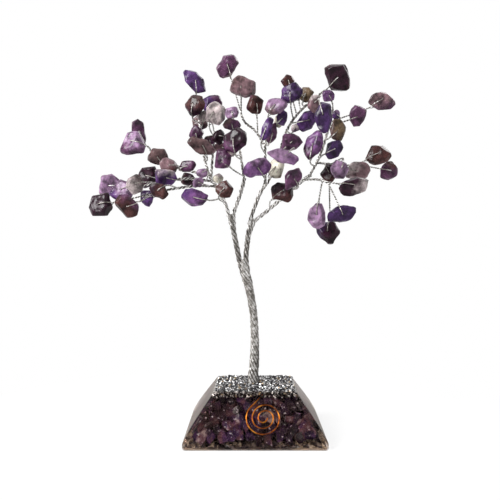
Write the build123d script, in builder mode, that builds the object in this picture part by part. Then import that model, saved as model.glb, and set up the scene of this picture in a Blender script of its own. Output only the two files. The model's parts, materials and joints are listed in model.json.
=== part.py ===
"""Gemstone tree: drilled amethyst chips on twisted wire, standing on a clear cast base."""

import os
from math import atan2, degrees, floor, hypot, pi, radians, sin, tan

from build123d import *

os.makedirs("parts", exist_ok=True)

# Height, width and depth that the crown's places are shares of
tree_height = 170.0
crown_width = 138.0
crown_depth = 130.0

# Cast base: a square pyramid cut off at the top, on a low upright lip
base_width = 60.0
base_height = 21.5
lip_height = 2.0
top_width = 35.0
base_corner = 1.2

# Chips cast into the base
cast_chip_length = 8.2
cast_chip_height = 4.6
cast_chip_gap = 1.0
cast_cover = 2.0
cast_tilt = 9.0
cast_size_shares = (1.0, 0.84, 0.93, 0.78, 0.97, 0.88, 0.81)

# Copper spiral cast in behind the front face
spiral_wire = 0.65
spiral_radius = 6.9
spiral_step = 1.25
spiral_half_turns = 5
spiral_lead_turn = 43.0
spiral_tail = 8.0
spiral_cover = 0.6
spiral_across = 3.1
spiral_up = 12.0
spiral_side_count = 8
spiral_sample_count = 200

# Granules on top of the base
bed_thickness = 0.7
bed_margin = 0.4
granule_width = 1.5
granule_height = 1.1
granule_pitch = 3.1
granule_bevel = 18.0
granule_jitter_share = 0.2
granule_size_shares = (1.0, 0.72, 0.88, 0.64, 0.95)

# Wire: one strand, the pair that makes a twig, and a stem of several pairs
wire_width = 0.4
twig_width = 0.9
stem_width = 1.25
twig_side_count = 4
stem_side_count = 6

# Twisted bundles: trunk, limbs and boughs
root_depth = 12.0
trunk_foot_radius = 2.5
trunk_waist_radius = 1.8
trunk_fork_radius = 2.7
limb_radius = 1.25
bough_radius = 0.95
fork_gap = 0.6
fork_side_gap = 0.4
fork_lead = 2.0
groove_share = 0.86
waist_share = 0.6
trunk_lobe_count = 9
trunk_station_count = 18
trunk_turns = 0.6
limb_lobe_count = 6
limb_station_count = 6
limb_turns = 0.3
bough_lobe_count = 5
bough_station_count = 8
bough_turns = 0.5
trunk_route_shares = ((-0.007, 0.135), (-0.001, 0.186), (0.0, 0.225), (0.0, 0.268), (-0.005, 0.321),
                      (-0.016, 0.372), (-0.028, 0.411), (-0.038, 0.446))

# Chips: a usual length, its thickness against its width, its bevelled rim and its drilled hole
chip_length = 10.0
chip_thickness_share = 0.58
chip_bevel = 30.0
facet_tilt = 15.0
facet_share = 0.41
hole_width = 1.0
leg_gap = 0.12
edge_gap = 0.5
leg_root = 0.5
twig_lead = 1.8

# Pseudo-random turns come from the golden angle, which never repeats
golden_angle = 137.508
nod_tilt = 14.0
turn_tilt = 16.0

# Seen from the front, a place keeps its shares across and up whatever its depth: the crown
# flares about the line of sight, by this share from front to back
flare_share = 0.42
sight_across_share = -0.016
sight_up_share = 0.494

# Outlines of chips, as shares of length and width, counter-clockwise about the drilled hole
outline_shares = {
    "nugget": ((-0.50, -0.10), (-0.26, -0.46), (0.22, -0.50), (0.50, -0.12), (0.34, 0.42), (-0.24, 0.50)),
    "block": ((-0.46, -0.42), (0.30, -0.50), (0.50, -0.04), (0.40, 0.46), (-0.32, 0.50), (-0.50, 0.14)),
    "blade": ((-0.50, -0.16), (-0.12, -0.50), (0.34, -0.40), (0.50, 0.06), (0.10, 0.50), (-0.36, 0.36)),
    "wedge": ((-0.50, -0.36), (0.10, -0.50), (0.50, -0.10), (0.30, 0.30), (-0.30, 0.50)),
    "drop": ((-0.50, -0.14), (-0.28, -0.50), (0.14, -0.38), (0.50, 0.02), (0.08, 0.46), (-0.36, 0.42)),
    "square": ((-0.50, -0.34), (-0.26, -0.50), (0.42, -0.48), (0.50, -0.10), (0.40, 0.46), (-0.30, 0.50)),
}

# Limbs: the side of the trunk's end that each leaves, and its route as shares across, deep and up
limb_shares = {
    "left_limb": (-1, ((-0.065, 0.0, 0.507), (-0.074, 0.0, 0.549), (-0.077, 0.0, 0.566))),
    "right_limb": (1, ((-0.025, 0.0, 0.509), (-0.017, 0.0, 0.546), (-0.010, 0.0, 0.556))),
}

# Boughs: the limb and the side of its end that each leaves, and its route
bough_shares = {
    "left_outer_bough": ("left_limb", -1, (
        (-0.0905, 0.0, 0.600), (-0.103, 0.005, 0.617), (-0.127, 0.03, 0.650), (-0.150, 0.04, 0.680))),
    "left_inner_bough": ("left_limb", 1, (
        (-0.052, 0.0, 0.611), (-0.039, 0.0, 0.649), (-0.034, 0.0, 0.671))),
    "right_inner_bough": ("right_limb", -1, (
        (-0.001, 0.0, 0.597), (0.0124, 0.0, 0.626), (0.023, 0.0, 0.639))),
    "right_outer_bough": ("right_limb", 1, (
        (0.039, 0.01, 0.578), (0.077, 0.025, 0.610), (0.1176, 0.03, 0.640), (0.152, 0.025, 0.663),
        (0.183, 0.02, 0.680))),
}

# Stems: what each leaves, how far along that, and its route as shares across, deep and up
stem_shares = {
    "left_high": ("left_outer_bough", 0.96, (
        (-0.193, 0.05, 0.688), (-0.242, 0.06, 0.690), (-0.294, 0.08, 0.7135), (-0.343, 0.10, 0.745))),
    "left_mid": ("left_outer_bough", 0.82, (
        (-0.196, 0.01, 0.671), (-0.248, 0.0, 0.671), (-0.310, -0.01, 0.660), (-0.370, -0.02, 0.650))),
    "left_down": ("left_outer_bough", 0.70, (
        (-0.193, -0.02, 0.6525), (-0.245, -0.04, 0.6445), (-0.301, -0.06, 0.639), (-0.360, -0.09, 0.624))),
    "left_top": ("left_outer_bough", 0.98, (
        (-0.163, 0.05, 0.711), (-0.170, 0.07, 0.745), (-0.176, 0.09, 0.785), (-0.183, 0.10, 0.830))),
    "left_peak": ("left_outer_bough", 0.90, (
        (-0.142, 0.04, 0.711), (-0.134, 0.07, 0.750), (-0.133, 0.08, 0.795))),
    "inner": ("left_inner_bough", 0.97, (
        (-0.0425, 0.0, 0.711), (-0.047, 0.03, 0.735), (-0.055, 0.08, 0.764), (-0.060, 0.10, 0.793))),
    "crown": ("right_inner_bough", 0.80, (
        (0.034, 0.02, 0.652), (0.036, 0.05, 0.684), (0.033, 0.07, 0.737), (0.033, 0.07, 0.7666),
        (0.0425, 0.07, 0.785), (0.052, 0.08, 0.814))),
    "crown_left": ("crown", 0.70, (
        (0.010, 0.10, 0.793), (-0.020, 0.13, 0.810), (-0.041, 0.15, 0.822), (-0.047, 0.16, 0.850))),
    "crown_right": ("right_inner_bough", 0.97, (
        (0.049, -0.02, 0.662), (0.0686, 0.0, 0.7135), (0.085, 0.02, 0.745), (0.095, 0.04, 0.788),
        (0.137, 0.08, 0.846), (0.196, 0.12, 0.883), (0.229, 0.14, 0.9045))),
    "right_top": ("right_outer_bough", 0.98, (
        (0.206, 0.02, 0.716), (0.219, 0.02, 0.745), (0.229, 0.02, 0.769), (0.2386, 0.03, 0.798),
        (0.2516, 0.03, 0.830), (0.255, 0.02, 0.860))),
    "right_far": ("right_top", 0.20, (
        (0.242, 0.06, 0.7095), (0.294, 0.10, 0.703), (0.350, 0.13, 0.7056))),
    "right_low": ("right_outer_bough", 0.88, (
        (0.206, -0.05, 0.669), (0.222, -0.07, 0.668), (0.245, -0.09, 0.654))),
}

# Sprays whose twigs leave a bough with no stem between
near_carriers = {"left_near": "left_outer_bough", "right_near": "right_outer_bough"}

# Chips of each spray: place across, deep and up, length and width against the usual length,
# roll in degrees, outline, and how far along its stem or bough the twig leaves
chip_shares = {
    "left_near": (
        (-0.197, -0.13, 0.622, 1.14, 0.74, -6, "blade", 0.42),
        (-0.098, -0.09, 0.641, 0.82, 0.68, -35, "wedge", 0.30),
        (-0.121, -0.05, 0.670, 0.42, 0.34, 30, "nugget", 0.72)),
    "left_high": (
        (-0.219, -0.02, 0.702, 0.68, 0.44, 5, "block", 0.30),
        (-0.281, 0.00, 0.703, 0.80, 0.60, -30, "block", 0.45),
        (-0.317, 0.02, 0.728, 0.86, 0.70, 0, "nugget", 0.70),
        (-0.399, 0.05, 0.764, 1.14, 1.06, 4, "square", 0.97),
        (-0.381, 0.18, 0.795, 1.20, 0.56, 100, "block", 0.88)),
    "left_mid": (
        (-0.219, 0.11, 0.668, 0.68, 0.56, 0, "nugget", 0.18),
        (-0.172, -0.07, 0.684, 0.40, 0.32, 20, "block", 0.10),
        (-0.291, -0.09, 0.674, 1.06, 0.76, 15, "wedge", 0.45),
        (-0.351, 0.06, 0.675, 1.10, 0.86, 65, "nugget", 0.62),
        (-0.392, -0.11, 0.655, 0.84, 0.68, 75, "nugget", 0.82),
        (-0.474, 0.05, 0.653, 1.00, 0.90, 10, "square", 0.98),
        (-0.432, -0.03, 0.637, 1.06, 0.90, -20, "square", 0.92)),
    "left_down": (
        (-0.186, -0.10, 0.660, 0.42, 0.34, 20, "block", 0.12),
        (-0.314, -0.15, 0.637, 0.90, 0.52, -28, "blade", 0.55),
        (-0.352, -0.01, 0.617, 0.80, 0.62, -85, "drop", 0.72),
        (-0.417, -0.16, 0.598, 1.04, 0.74, -45, "block", 0.93),
        (-0.504, -0.06, 0.598, 1.14, 0.98, -60, "nugget", 0.98)),
    "left_top": (
        (-0.173, -0.01, 0.756, 1.34, 0.62, -20, "blade", 0.25),
        (-0.190, 0.02, 0.790, 0.66, 0.52, 70, "block", 0.45),
        (-0.180, 0.17, 0.820, 0.80, 0.64, -20, "nugget", 0.70),
        (-0.167, 0.06, 0.833, 0.50, 0.42, 20, "block", 0.82),
        (-0.196, 0.03, 0.865, 0.98, 0.86, 60, "nugget", 0.93),
        (-0.196, 0.11, 0.927, 1.48, 0.68, -49, "blade", 0.99)),
    "left_peak": (
        (-0.147, 0.04, 0.772, 0.44, 0.36, 10, "block", 0.60),
        (-0.130, 0.00, 0.841, 1.12, 0.90, 98, "nugget", 0.90),
        (-0.139, 0.13, 0.867, 0.94, 0.74, 15, "block", 0.98)),
    "inner": (
        (-0.105, -0.04, 0.715, 1.02, 0.66, 80, "block", 0.05),
        (-0.080, 0.04, 0.737, 0.42, 0.28, 10, "block", 0.45),
        (-0.108, 0.07, 0.753, 0.56, 0.36, -10, "block", 0.60),
        (-0.065, -0.05, 0.771, 1.20, 0.94, 35, "nugget", 0.35),
        (-0.119, 0.03, 0.782, 0.74, 0.52, 80, "wedge", 0.80),
        (-0.074, 0.04, 0.814, 0.78, 0.52, -8, "wedge", 0.91),
        (-0.074, 0.10, 0.844, 0.62, 0.52, 20, "block", 0.98)),
    "crown": (
        (0.056, 0.02, 0.790, 0.98, 0.36, 71, "blade", 0.80),
        (0.039, -0.02, 0.804, 1.28, 0.38, 71, "blade", 0.62),
        (0.074, 0.06, 0.821, 0.60, 0.32, 85, "drop", 0.89),
        (0.088, 0.03, 0.830, 0.72, 0.42, 85, "blade", 0.94),
        (0.069, 0.01, 0.862, 1.06, 0.74, 12, "nugget", 0.98)),
    "crown_left": (
        (0.002, 0.08, 0.867, 0.82, 0.66, 80, "block", 0.35),
        (-0.042, 0.12, 0.914, 1.45, 0.84, -22, "nugget", 0.90),
        (-0.090, 0.18, 0.968, 1.30, 0.76, 64, "block", 0.98)),
    "crown_right": (
        (0.007, -0.11, 0.700, 1.30, 0.72, 12, "nugget", 0.06),
        (0.072, -0.06, 0.699, 0.86, 0.60, 75, "block", 0.12),
        (0.095, -0.19, 0.729, 1.60, 0.48, -14, "blade", 0.25),
        (0.121, -0.08, 0.769, 0.94, 0.72, 12, "wedge", 0.36),
        (0.134, 0.12, 0.804, 0.40, 0.30, 20, "block", 0.52),
        (0.172, 0.04, 0.825, 1.14, 0.72, 48, "blade", 0.58),
        (0.119, 0.01, 0.897, 1.00, 0.80, 25, "nugget", 0.63),
        (0.108, 0.11, 0.928, 0.58, 0.44, 60, "block", 0.68),
        (0.144, 0.10, 0.890, 0.40, 0.32, 40, "block", 0.73),
        (0.168, 0.06, 0.893, 0.70, 0.54, 70, "block", 0.78),
        (0.191, 0.00, 0.870, 0.88, 0.48, 75, "wedge", 0.84),
        (0.272, 0.17, 0.937, 1.46, 1.00, -68, "block", 0.99)),
    "right_near": (
        (0.092, -0.06, 0.634, 0.98, 0.78, -12, "block", 0.28),
        (0.124, -0.12, 0.670, 1.04, 0.64, 47, "blade", 0.68)),
    "right_top": (
        (0.193, -0.07, 0.761, 1.36, 0.72, 62, "blade", 0.15),
        (0.258, -0.06, 0.746, 1.00, 0.64, 55, "blade", 0.24),
        (0.270, -0.04, 0.798, 0.92, 0.60, 72, "block", 0.56),
        (0.224, -0.13, 0.834, 1.50, 0.70, 88, "blade", 0.64),
        (0.266, -0.02, 0.838, 0.48, 0.28, 85, "blade", 0.86),
        (0.335, 0.02, 0.832, 1.04, 0.72, -98, "drop", 0.74),
        (0.415, 0.13, 0.875, 1.32, 0.86, -6, "blade", 0.80),
        (0.240, -0.03, 0.890, 0.52, 0.42, 15, "block", 0.98)),
    "right_far": (
        (0.245, 0.01, 0.683, 0.82, 0.66, 60, "block", 0.18),
        (0.276, -0.05, 0.695, 0.86, 0.72, 60, "nugget", 0.35),
        (0.337, 0.04, 0.690, 1.04, 0.74, 5, "block", 0.65),
        (0.404, 0.10, 0.732, 1.22, 0.92, 5, "nugget", 0.92),
        (0.438, 0.19, 0.692, 0.96, 0.80, 30, "nugget", 0.98)),
    "right_low": (
        (0.204, -0.09, 0.574, 1.16, 0.76, 82, "drop", 0.75),
        (0.322, -0.07, 0.650, 1.50, 0.74, 20, "blade", 0.88),
        (0.284, -0.11, 0.577, 1.40, 0.66, 14, "blade", 0.94),
        (0.239, 0.00, 0.527, 1.10, 1.00, -80, "drop", 0.98)),
}


def place(across_share, deep_share, up_share):
    """Point of the crown from its shares across, deep and up."""
    flare = 1 + deep_share * flare_share
    across = sight_across_share + (across_share - sight_across_share) * flare
    up = sight_up_share + (up_share - sight_up_share) * flare
    return Vector(across * crown_width, deep_share * crown_depth, up * tree_height)


def save(part, name):
    """Label a finished piece and write it to its own file."""
    part.label = name
    export_step(part, f"parts/{name}.step")


def turned(plane, nod, turn, roll):
    """Plane turned about its own axes."""
    return Plane(plane.location * Rotation(nod, turn, roll))


def bundle_part(route, radius_at, lobe_count, station_count, turn_count):
    """Twisted bundle of wires: a grooved section that turns as it is lofted along a route."""
    with BuildPart() as bundle:
        for station in range(station_count + 1):
            along = station / station_count
            square = Plane(origin=route @ along, x_dir=Axis.Y.direction, z_dir=route % along)
            radius = radius_at(along)
            outline = []
            for corner in range(2 * lobe_count):
                reach = radius if corner % 2 == 0 else radius * groove_share
                outline.append(Vector(reach, 0).rotate(Axis.Z, 180 * corner / lobe_count))
            with BuildSketch(turned(square, 0, 0, 360 * turn_count * along)):
                Polygon(*outline, align=None)
        loft(ruled=True)
    return bundle.part


def wire_part(points, width, side_count):
    """Wire of straight runs, mitred where it bends."""
    with BuildPart() as wire:
        with BuildLine() as run:
            Polyline(*points)
        with BuildSketch(Plane(origin=points[0], z_dir=points[1] - points[0])):
            RegularPolygon(radius=width / 2, side_count=side_count, major_radius=False)
        sweep(path=run.line, transition=Transition.RIGHT)
    return wire.part


def largest_rest(part, cutters):
    """What is left of a wire, in one piece, where the wires that it springs from are cut away."""
    with BuildPart() as rest:
        add(part)
        for cutter in cutters:
            add(cutter, mode=Mode.SUBTRACT)
    return rest.part.solids().sort_by(SortBy.VOLUME)[-1]


def chip_plane(row, index):
    """Plane of a chip's outline: it faces the front, rolled and a little turned."""
    centre = place(row[0], row[1], row[2])
    nod = nod_tilt * sin(radians(golden_angle * index))
    turn = turn_tilt * sin(radians(golden_angle * (index + 0.5)))
    facing = Plane(origin=centre, x_dir=Axis.X.direction, z_dir=-Axis.Y.direction)
    return turned(facing, nod, turn, row[5])


def chip_part(plane, length, width, thickness, kind, index):
    """Tumbled chip: an outline with bevelled rims, and one broken facet on each side."""
    with BuildPart() as chip:
        with BuildSketch(plane):
            with BuildLine():
                Polyline(*[(x * length, y * width) for x, y in outline_shares[kind]], close=True)
            make_face()
        extrude(amount=thickness / 2, taper=chip_bevel, both=True)
        for side, spin in ((1, golden_angle * index), (-1, golden_angle * (index + 1))):
            facet = turned(turned(plane, 0, 0, spin), facet_tilt * side, 0, 0)
            kept = Keep.BOTTOM if side == 1 else Keep.TOP
            split(bisect_by=facet.offset(facet_share * thickness * side), keep=kept)
    return chip.part


def drilled_chip(plane, length, width, thickness, kind, index):
    """Chip with the hole for its wire drilled through its thickness."""
    with BuildPart() as chip:
        add(chip_part(plane, length, width, thickness, kind, index))
        with BuildSketch(plane):
            RegularPolygon(radius=hole_width / 2, side_count=stem_side_count)
        extrude(amount=thickness, both=True, mode=Mode.SUBTRACT)
    return chip.part


def twig_part(start, plane, length, width, thickness, kind):
    """Twisted pair from its stem to the chip's rim, and its loop through the drilled hole."""
    centre = plane.origin
    inward = centre - start
    inward = (inward - plane.z_dir * inward.dot(plane.z_dir)).normalized()
    corners = [plane.x_dir * (x * length) + plane.y_dir * (y * width) for x, y in outline_shares[kind]]
    reach = max(-corner.dot(inward) for corner in corners)
    half = thickness / 2
    rim = reach - half * tan(radians(chip_bevel))
    lift = plane.z_dir * (half + wire_width / 2 + leg_gap)
    side = plane.z_dir * (wire_width / 2)
    tip = centre - inward * (reach + edge_gap)
    root = tip - inward * leg_root
    rim_point = centre - inward * rim
    loop = [root + side, rim_point + lift, centre + lift, centre - lift, rim_point - lift, root - side]
    with BuildPart() as twig:
        add(wire_part([start, tip - inward * twig_lead, tip], twig_width, twig_side_count))
        add(wire_part(loop, wire_width, twig_side_count))
    return twig.part


def end_side(route):
    """Unit direction to the right across the end of a limb or trunk."""
    along = route % 1
    return Vector(along.Z, 0, -along.X).normalized()


# Trunk, from its cast-in foot to the main fork
trunk_points = [place(across, 0, up) for across, up in trunk_route_shares]
trunk_foot = Vector(trunk_points[0].X, 0, base_height - root_depth)
trunk_route = Spline(trunk_foot, *trunk_points)


def trunk_radius(along):
    """Trunk radius: it narrows to its waist and swells again below the fork."""
    if along < waist_share:
        return trunk_foot_radius + (trunk_waist_radius - trunk_foot_radius) * along / waist_share
    beyond = (along - waist_share) / (1 - waist_share)
    return trunk_waist_radius + (trunk_fork_radius - trunk_waist_radius) * beyond


trunk = bundle_part(trunk_route, trunk_radius, trunk_lobe_count, trunk_station_count, trunk_turns)
save(trunk, "trunk")

# Limbs: the two halves of the bundle above the main fork
routes = {}
solids = {}
for name, (side, shares) in limb_shares.items():
    seat = trunk_route @ 1 + (trunk_route % 1) * fork_gap
    start = seat + end_side(trunk_route) * side * (limb_radius + fork_side_gap / 2)
    points = [place(*share) for share in shares]
    routes[name] = Bezier(start, start + (trunk_route % 1) * fork_lead, *points)
    solids[name] = bundle_part(routes[name], lambda along: limb_radius, limb_lobe_count,
                               limb_station_count, limb_turns)
    save(solids[name], name)

# Boughs: each limb divides in two
for name, (limb, side, shares) in bough_shares.items():
    seat = routes[limb] @ 1 + (routes[limb] % 1) * fork_gap
    start = seat + end_side(routes[limb]) * side * (bough_radius + fork_side_gap / 2)
    points = [place(*share) for share in shares]
    routes[name] = Bezier(start, start + (routes[limb] % 1) * fork_lead, *points)
    solids[name] = bundle_part(routes[name], lambda along: bough_radius, bough_lobe_count,
                               bough_station_count, bough_turns)
    save(solids[name], name)

# Stems: thinner bundles that leave the boughs, each cut to sit against what it springs from
springing = {}
for name, (carrier, along, shares) in stem_shares.items():
    points = [routes[carrier] @ along] + [place(*share) for share in shares]
    routes[name] = Polyline(*points)
    stem = wire_part(points, stem_width, stem_side_count)
    neighbours = springing.setdefault(carrier, [])
    solids[name] = largest_rest(stem, [solids[carrier], *neighbours])
    neighbours.append(solids[name])
    save(solids[name], f"{name}_stem")

# Twigs and chips, spray by spray
chip_number = 0
for name, rows in chip_shares.items():
    carrier = near_carriers.get(name, name)
    twigs = []
    chips = []
    for row in rows:
        chip_number += 1
        plane = chip_plane(row, chip_number)
        length = row[3] * chip_length
        width = row[4] * chip_length
        thickness = width * chip_thickness_share
        chips.append(drilled_chip(plane, length, width, thickness, row[6], chip_number))
        twig = twig_part(routes[carrier] @ row[7], plane, length, width, thickness, row[6])
        twigs.append(largest_rest(twig, [solids[carrier], *springing.get(carrier, []), *twigs]))
    save(Compound(children=twigs), f"{name}_twigs")
    save(Compound(children=chips), f"{name}_chips")

# Copper spiral: half turns about two centres, and a straight tail up to the top edge
lean = degrees(atan2((base_width - top_width) / 2, base_height - lip_height))
face_deep = -base_width / 2 + (spiral_up - lip_height) * tan(radians(lean))
upright = Plane(origin=(spiral_across, face_deep, spiral_up), x_dir=Axis.X.direction,
                z_dir=-Axis.Y.direction)
front_face = turned(upright, -lean, 0, 0)
spiral_plane = front_face.offset(-spiral_cover - spiral_wire / 2)
with BuildPart() as copper_spiral:
    with BuildLine(spiral_plane) as coil:
        lead = CenterArc((0, 0), spiral_radius, 180 - spiral_lead_turn, spiral_lead_turn)
        tail = Line(lead @ 0 - (lead % 0) * spiral_tail, lead @ 0)
        for turn in range(spiral_half_turns):
            shift = spiral_step if turn % 2 else 0
            CenterArc((shift, 0), spiral_radius - turn * spiral_step, 180 * (turn + 1), 180)
    start = coil.line @ 0
    with BuildSketch(Plane(origin=start, z_dir=coil.line % 0)):
        RegularPolygon(radius=spiral_wire / 2, side_count=spiral_side_count)
    sweep(path=coil.line)
save(copper_spiral.part, "copper_spiral")

# Least gap of the spiral to itself, between points more than its innermost half turn apart
coil_wire = coil.wire()
sample_run = coil_wire.length / spiral_sample_count
own_run = pi * (spiral_radius - (spiral_half_turns - 1) * spiral_step)
coil_points = [coil_wire @ (step / spiral_sample_count) for step in range(spiral_sample_count + 1)]
least_gap = spiral_radius
for step, point in enumerate(coil_points):
    for other in coil_points[step + floor(own_run / sample_run):]:
        least_gap = min(least_gap, (other - point).length - spiral_wire)
print(f"Copper spiral: least gap to itself {least_gap:.2f} mm")


def half_width_at(height):
    """Half the base's width at a height."""
    risen = max(0, height - lip_height) / (base_height - lip_height)
    return (base_width - (base_width - top_width) * risen) / 2


# Chips cast into the base, in layers that shrink with the pyramid
layer_pitch = cast_chip_height + cast_chip_gap
kinds = list(outline_shares)
cast_chips = []
for layer in range(floor((base_height - 2 * cast_cover) / layer_pitch)):
    middle = cast_cover + layer_pitch * (layer + 0.5)
    room = 2 * (half_width_at(middle + layer_pitch / 2) - cast_cover)
    count = floor(room / (cast_chip_length + cast_chip_gap))
    pitch = room / count
    for spot in GridLocations(pitch, pitch, count, count).locations:
        index = len(cast_chips)
        clear = trunk_foot_radius + cast_chip_length / 2
        aside = hypot(spot.position.X - trunk_foot.X, spot.position.Y)
        if aside < clear and middle + layer_pitch / 2 > base_height - root_depth:
            continue
        length = cast_chip_length * cast_size_shares[index % len(cast_size_shares)]
        tilt = cast_tilt * sin(radians(golden_angle * index))
        flat = Plane(origin=(spot.position.X, spot.position.Y, middle))
        plane = turned(flat, tilt, -tilt, golden_angle * index)
        kind = kinds[index % len(kinds)]
        cast_chips.append(chip_part(plane, length, length, cast_chip_height, kind, index))
save(Compound(children=cast_chips), "cast_chips")

# Clear base, cast round the trunk's foot, the spiral and its chips
with BuildPart() as resin_base:
    with BuildSketch():
        RectangleRounded(base_width, base_width, base_corner)
    extrude(amount=lip_height)
    with BuildSketch(Plane.XY.offset(lip_height)):
        RectangleRounded(base_width, base_width, base_corner)
    extrude(amount=base_height - lip_height, taper=lean)
    add([trunk, copper_spiral.part, *cast_chips], mode=Mode.SUBTRACT)
save(resin_base.part, "resin_base")

# Granules: a bed over the top of the base, and single ones that stand on it
with BuildPart() as granule_bed:
    with BuildSketch(Plane.XY.offset(base_height)):
        Rectangle(top_width - 2 * bed_margin, top_width - 2 * bed_margin)
    extrude(amount=bed_thickness)
    add(trunk, mode=Mode.SUBTRACT)
save(granule_bed.part, "granule_bed")

bed_top = base_height + bed_thickness
granule_count = floor((top_width - 2 * bed_margin - granule_width) / granule_pitch) + 1
granules = []
for spot in GridLocations(granule_pitch, granule_pitch, granule_count, granule_count).locations:
    index = len(granules)
    stray = Vector(granule_pitch * granule_jitter_share, 0).rotate(Axis.Z, golden_angle * index)
    across = spot.position.X + stray.X
    deep = spot.position.Y + stray.Y
    if hypot(across - trunk_foot.X, deep) < trunk_foot_radius + granule_width:
        continue
    size_share = granule_size_shares[index % len(granule_size_shares)]
    with BuildPart() as granule:
        with BuildSketch(turned(Plane(origin=(across, deep, bed_top)), 0, 0, golden_angle * index)):
            Rectangle(granule_width * size_share, granule_width * size_share)
        extrude(amount=granule_height * size_share, taper=granule_bevel)
    granules.append(granule.part)
save(Compound(children=granules), "granules")
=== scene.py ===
"""Gemstone tree: twisted silver wire and drilled amethyst chips on a clear cast base."""

import json
import math
import random

import bmesh
import bpy
from mathutils import Matrix, Vector, noise


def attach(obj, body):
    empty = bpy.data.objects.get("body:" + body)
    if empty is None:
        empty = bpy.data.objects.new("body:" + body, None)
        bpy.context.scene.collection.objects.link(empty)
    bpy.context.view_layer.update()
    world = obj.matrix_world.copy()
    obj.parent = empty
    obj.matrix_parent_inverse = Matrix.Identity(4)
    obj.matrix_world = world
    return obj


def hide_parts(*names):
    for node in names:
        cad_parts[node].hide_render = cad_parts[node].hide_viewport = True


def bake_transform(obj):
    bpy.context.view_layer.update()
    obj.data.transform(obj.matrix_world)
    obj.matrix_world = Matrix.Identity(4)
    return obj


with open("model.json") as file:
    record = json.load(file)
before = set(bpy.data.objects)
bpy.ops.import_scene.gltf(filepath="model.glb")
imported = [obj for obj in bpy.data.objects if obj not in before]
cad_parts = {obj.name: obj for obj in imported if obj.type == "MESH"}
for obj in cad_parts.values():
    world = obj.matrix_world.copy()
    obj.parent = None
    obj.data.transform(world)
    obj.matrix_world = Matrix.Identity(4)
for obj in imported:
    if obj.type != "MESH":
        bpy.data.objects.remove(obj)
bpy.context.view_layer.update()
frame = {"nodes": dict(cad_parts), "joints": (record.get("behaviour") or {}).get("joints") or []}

# Base: clear casting resin poured in a square mould, 60 mm wide, with a low upright lip at the
# foot and four sloping sides that bulge a little, up to a flat top. Two sides are left frosted.
mm = 0.001
base_half = 30.0 * mm
base_height = 21.5 * mm
lip_height = 2.0 * mm
top_half = 17.5 * mm
base_rounding = 1.2 * mm
base_easing = 0.35 * mm
base_bulge = 0.9 * mm
bulge_power = 0.6
step_power = 1.6
face_steps = 14
corner_steps = 5
ripple_height = 1.0 * mm
scuff_range = (0.35, 0.7)
clear_tints = ((0.35, (0.87, 0.79, 0.75)), (0.65, (0.73, 0.62, 0.55)))
frosted_tints = ((0.35, (0.80, 0.70, 0.62)), (0.65, (0.66, 0.55, 0.47)))


def risen_at(height):
    """How far up the sloping sides a height is, from 0 at the lip to 1 at the top."""
    return max(0.0, height - lip_height) / (base_height - lip_height)


def half_at(height):
    """Half the base's width at a height, as if its sides were straight."""
    return base_half + (top_half - base_half) * risen_at(height)


def face_at(height):
    """Half the base's width at a height, with the slight bulge of its sides."""
    return half_at(height) + base_bulge * math.sin(math.pi * min(1.0, risen_at(height)) ** bulge_power)


def rounded_square(bm, half, height):
    """Ring of vertices round a square with rounded corners."""
    ring = []
    inner = half - base_rounding
    for quarter in range(4):
        middle = math.pi / 2 * (quarter + 0.5)
        centre = Vector((math.copysign(inner, math.cos(middle)),
                         math.copysign(inner, math.sin(middle)), height))
        for step in range(corner_steps + 1):
            angle = math.pi / 2 * (quarter + step / corner_steps)
            corner = Vector((math.cos(angle), math.sin(angle), 0)) * base_rounding
            ring.append(bm.verts.new(centre + corner))
    return ring


def skin(bm, rings, closed_ends=True):
    """Join rings of vertices with quads, and close the two ends."""
    for low, high in zip(rings, rings[1:]):
        count = len(low)
        for index in range(count):
            after = (index + 1) % count
            bm.faces.new((low[index], low[after], high[after], high[index]))
    if closed_ends:
        bm.faces.new(list(reversed(rings[0])))
        bm.faces.new(rings[-1])


def mesh_from(bm, name):
    """Plain mesh from a bmesh, which is done with after that."""
    mesh = bpy.data.meshes.new(name)
    bm.to_mesh(mesh)
    bm.free()
    return mesh


def shown(name, data):
    """Object of the scene that holds this mesh, curve, lamp or lens."""
    piece = bpy.data.objects.new(name, data)
    bpy.context.scene.collection.objects.link(piece)
    return piece


def fill(tree, made, inputs):
    """Give a node's inputs their values, or links from the outputs of other nodes."""
    for key, value in inputs.items():
        if isinstance(value, bpy.types.NodeSocket):
            tree.links.new(value, made.inputs[key])
        else:
            made.inputs[key].default_value = value


def node(tree, kind, inputs, **settings):
    """Add a node to a tree, with its settings and its inputs."""
    made = tree.nodes.new(kind)
    for key, value in settings.items():
        setattr(made, key, value)
    fill(tree, made, inputs)
    return made


def grain(tree, spot, scale, detail=2.0, **more):
    """Level of a cloudy pattern at a spot."""
    inputs = {"Vector": spot, "Scale": scale, "Detail": detail, **more}
    return node(tree, "ShaderNodeTexNoise", inputs).outputs["Fac"]


def ranged(tree, value, source, target=(0.0, 1.0), **settings):
    """A value moved from one range to another, and held within it."""
    inputs = {"Value": value, "From Min": source[0], "From Max": source[1],
              "To Min": target[0], "To Max": target[1]}
    return node(tree, "ShaderNodeMapRange", inputs, **settings).outputs["Result"]


def ramped(tree, value, stops, interpolation="LINEAR"):
    """Colour of a value on a ramp of stops, each a place and a tint."""
    made = node(tree, "ShaderNodeValToRGB", {"Fac": value})
    ramp = made.color_ramp
    ramp.interpolation = interpolation
    while len(ramp.elements) < len(stops):
        ramp.elements.new(0.5)
    for element, (where, tint) in zip(ramp.elements, stops):
        element.position = where
        element.color = (*tint, 1)
    return made.outputs["Color"]


def finish_material(name):
    """New material with its tree, its object coordinates and its shader."""
    material = bpy.data.materials.new(name)
    material.use_nodes = True
    tree = material.node_tree
    spot = node(tree, "ShaderNodeTexCoord", {}).outputs["Object"]
    return material, tree, spot, tree.nodes["Principled BSDF"]


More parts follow.
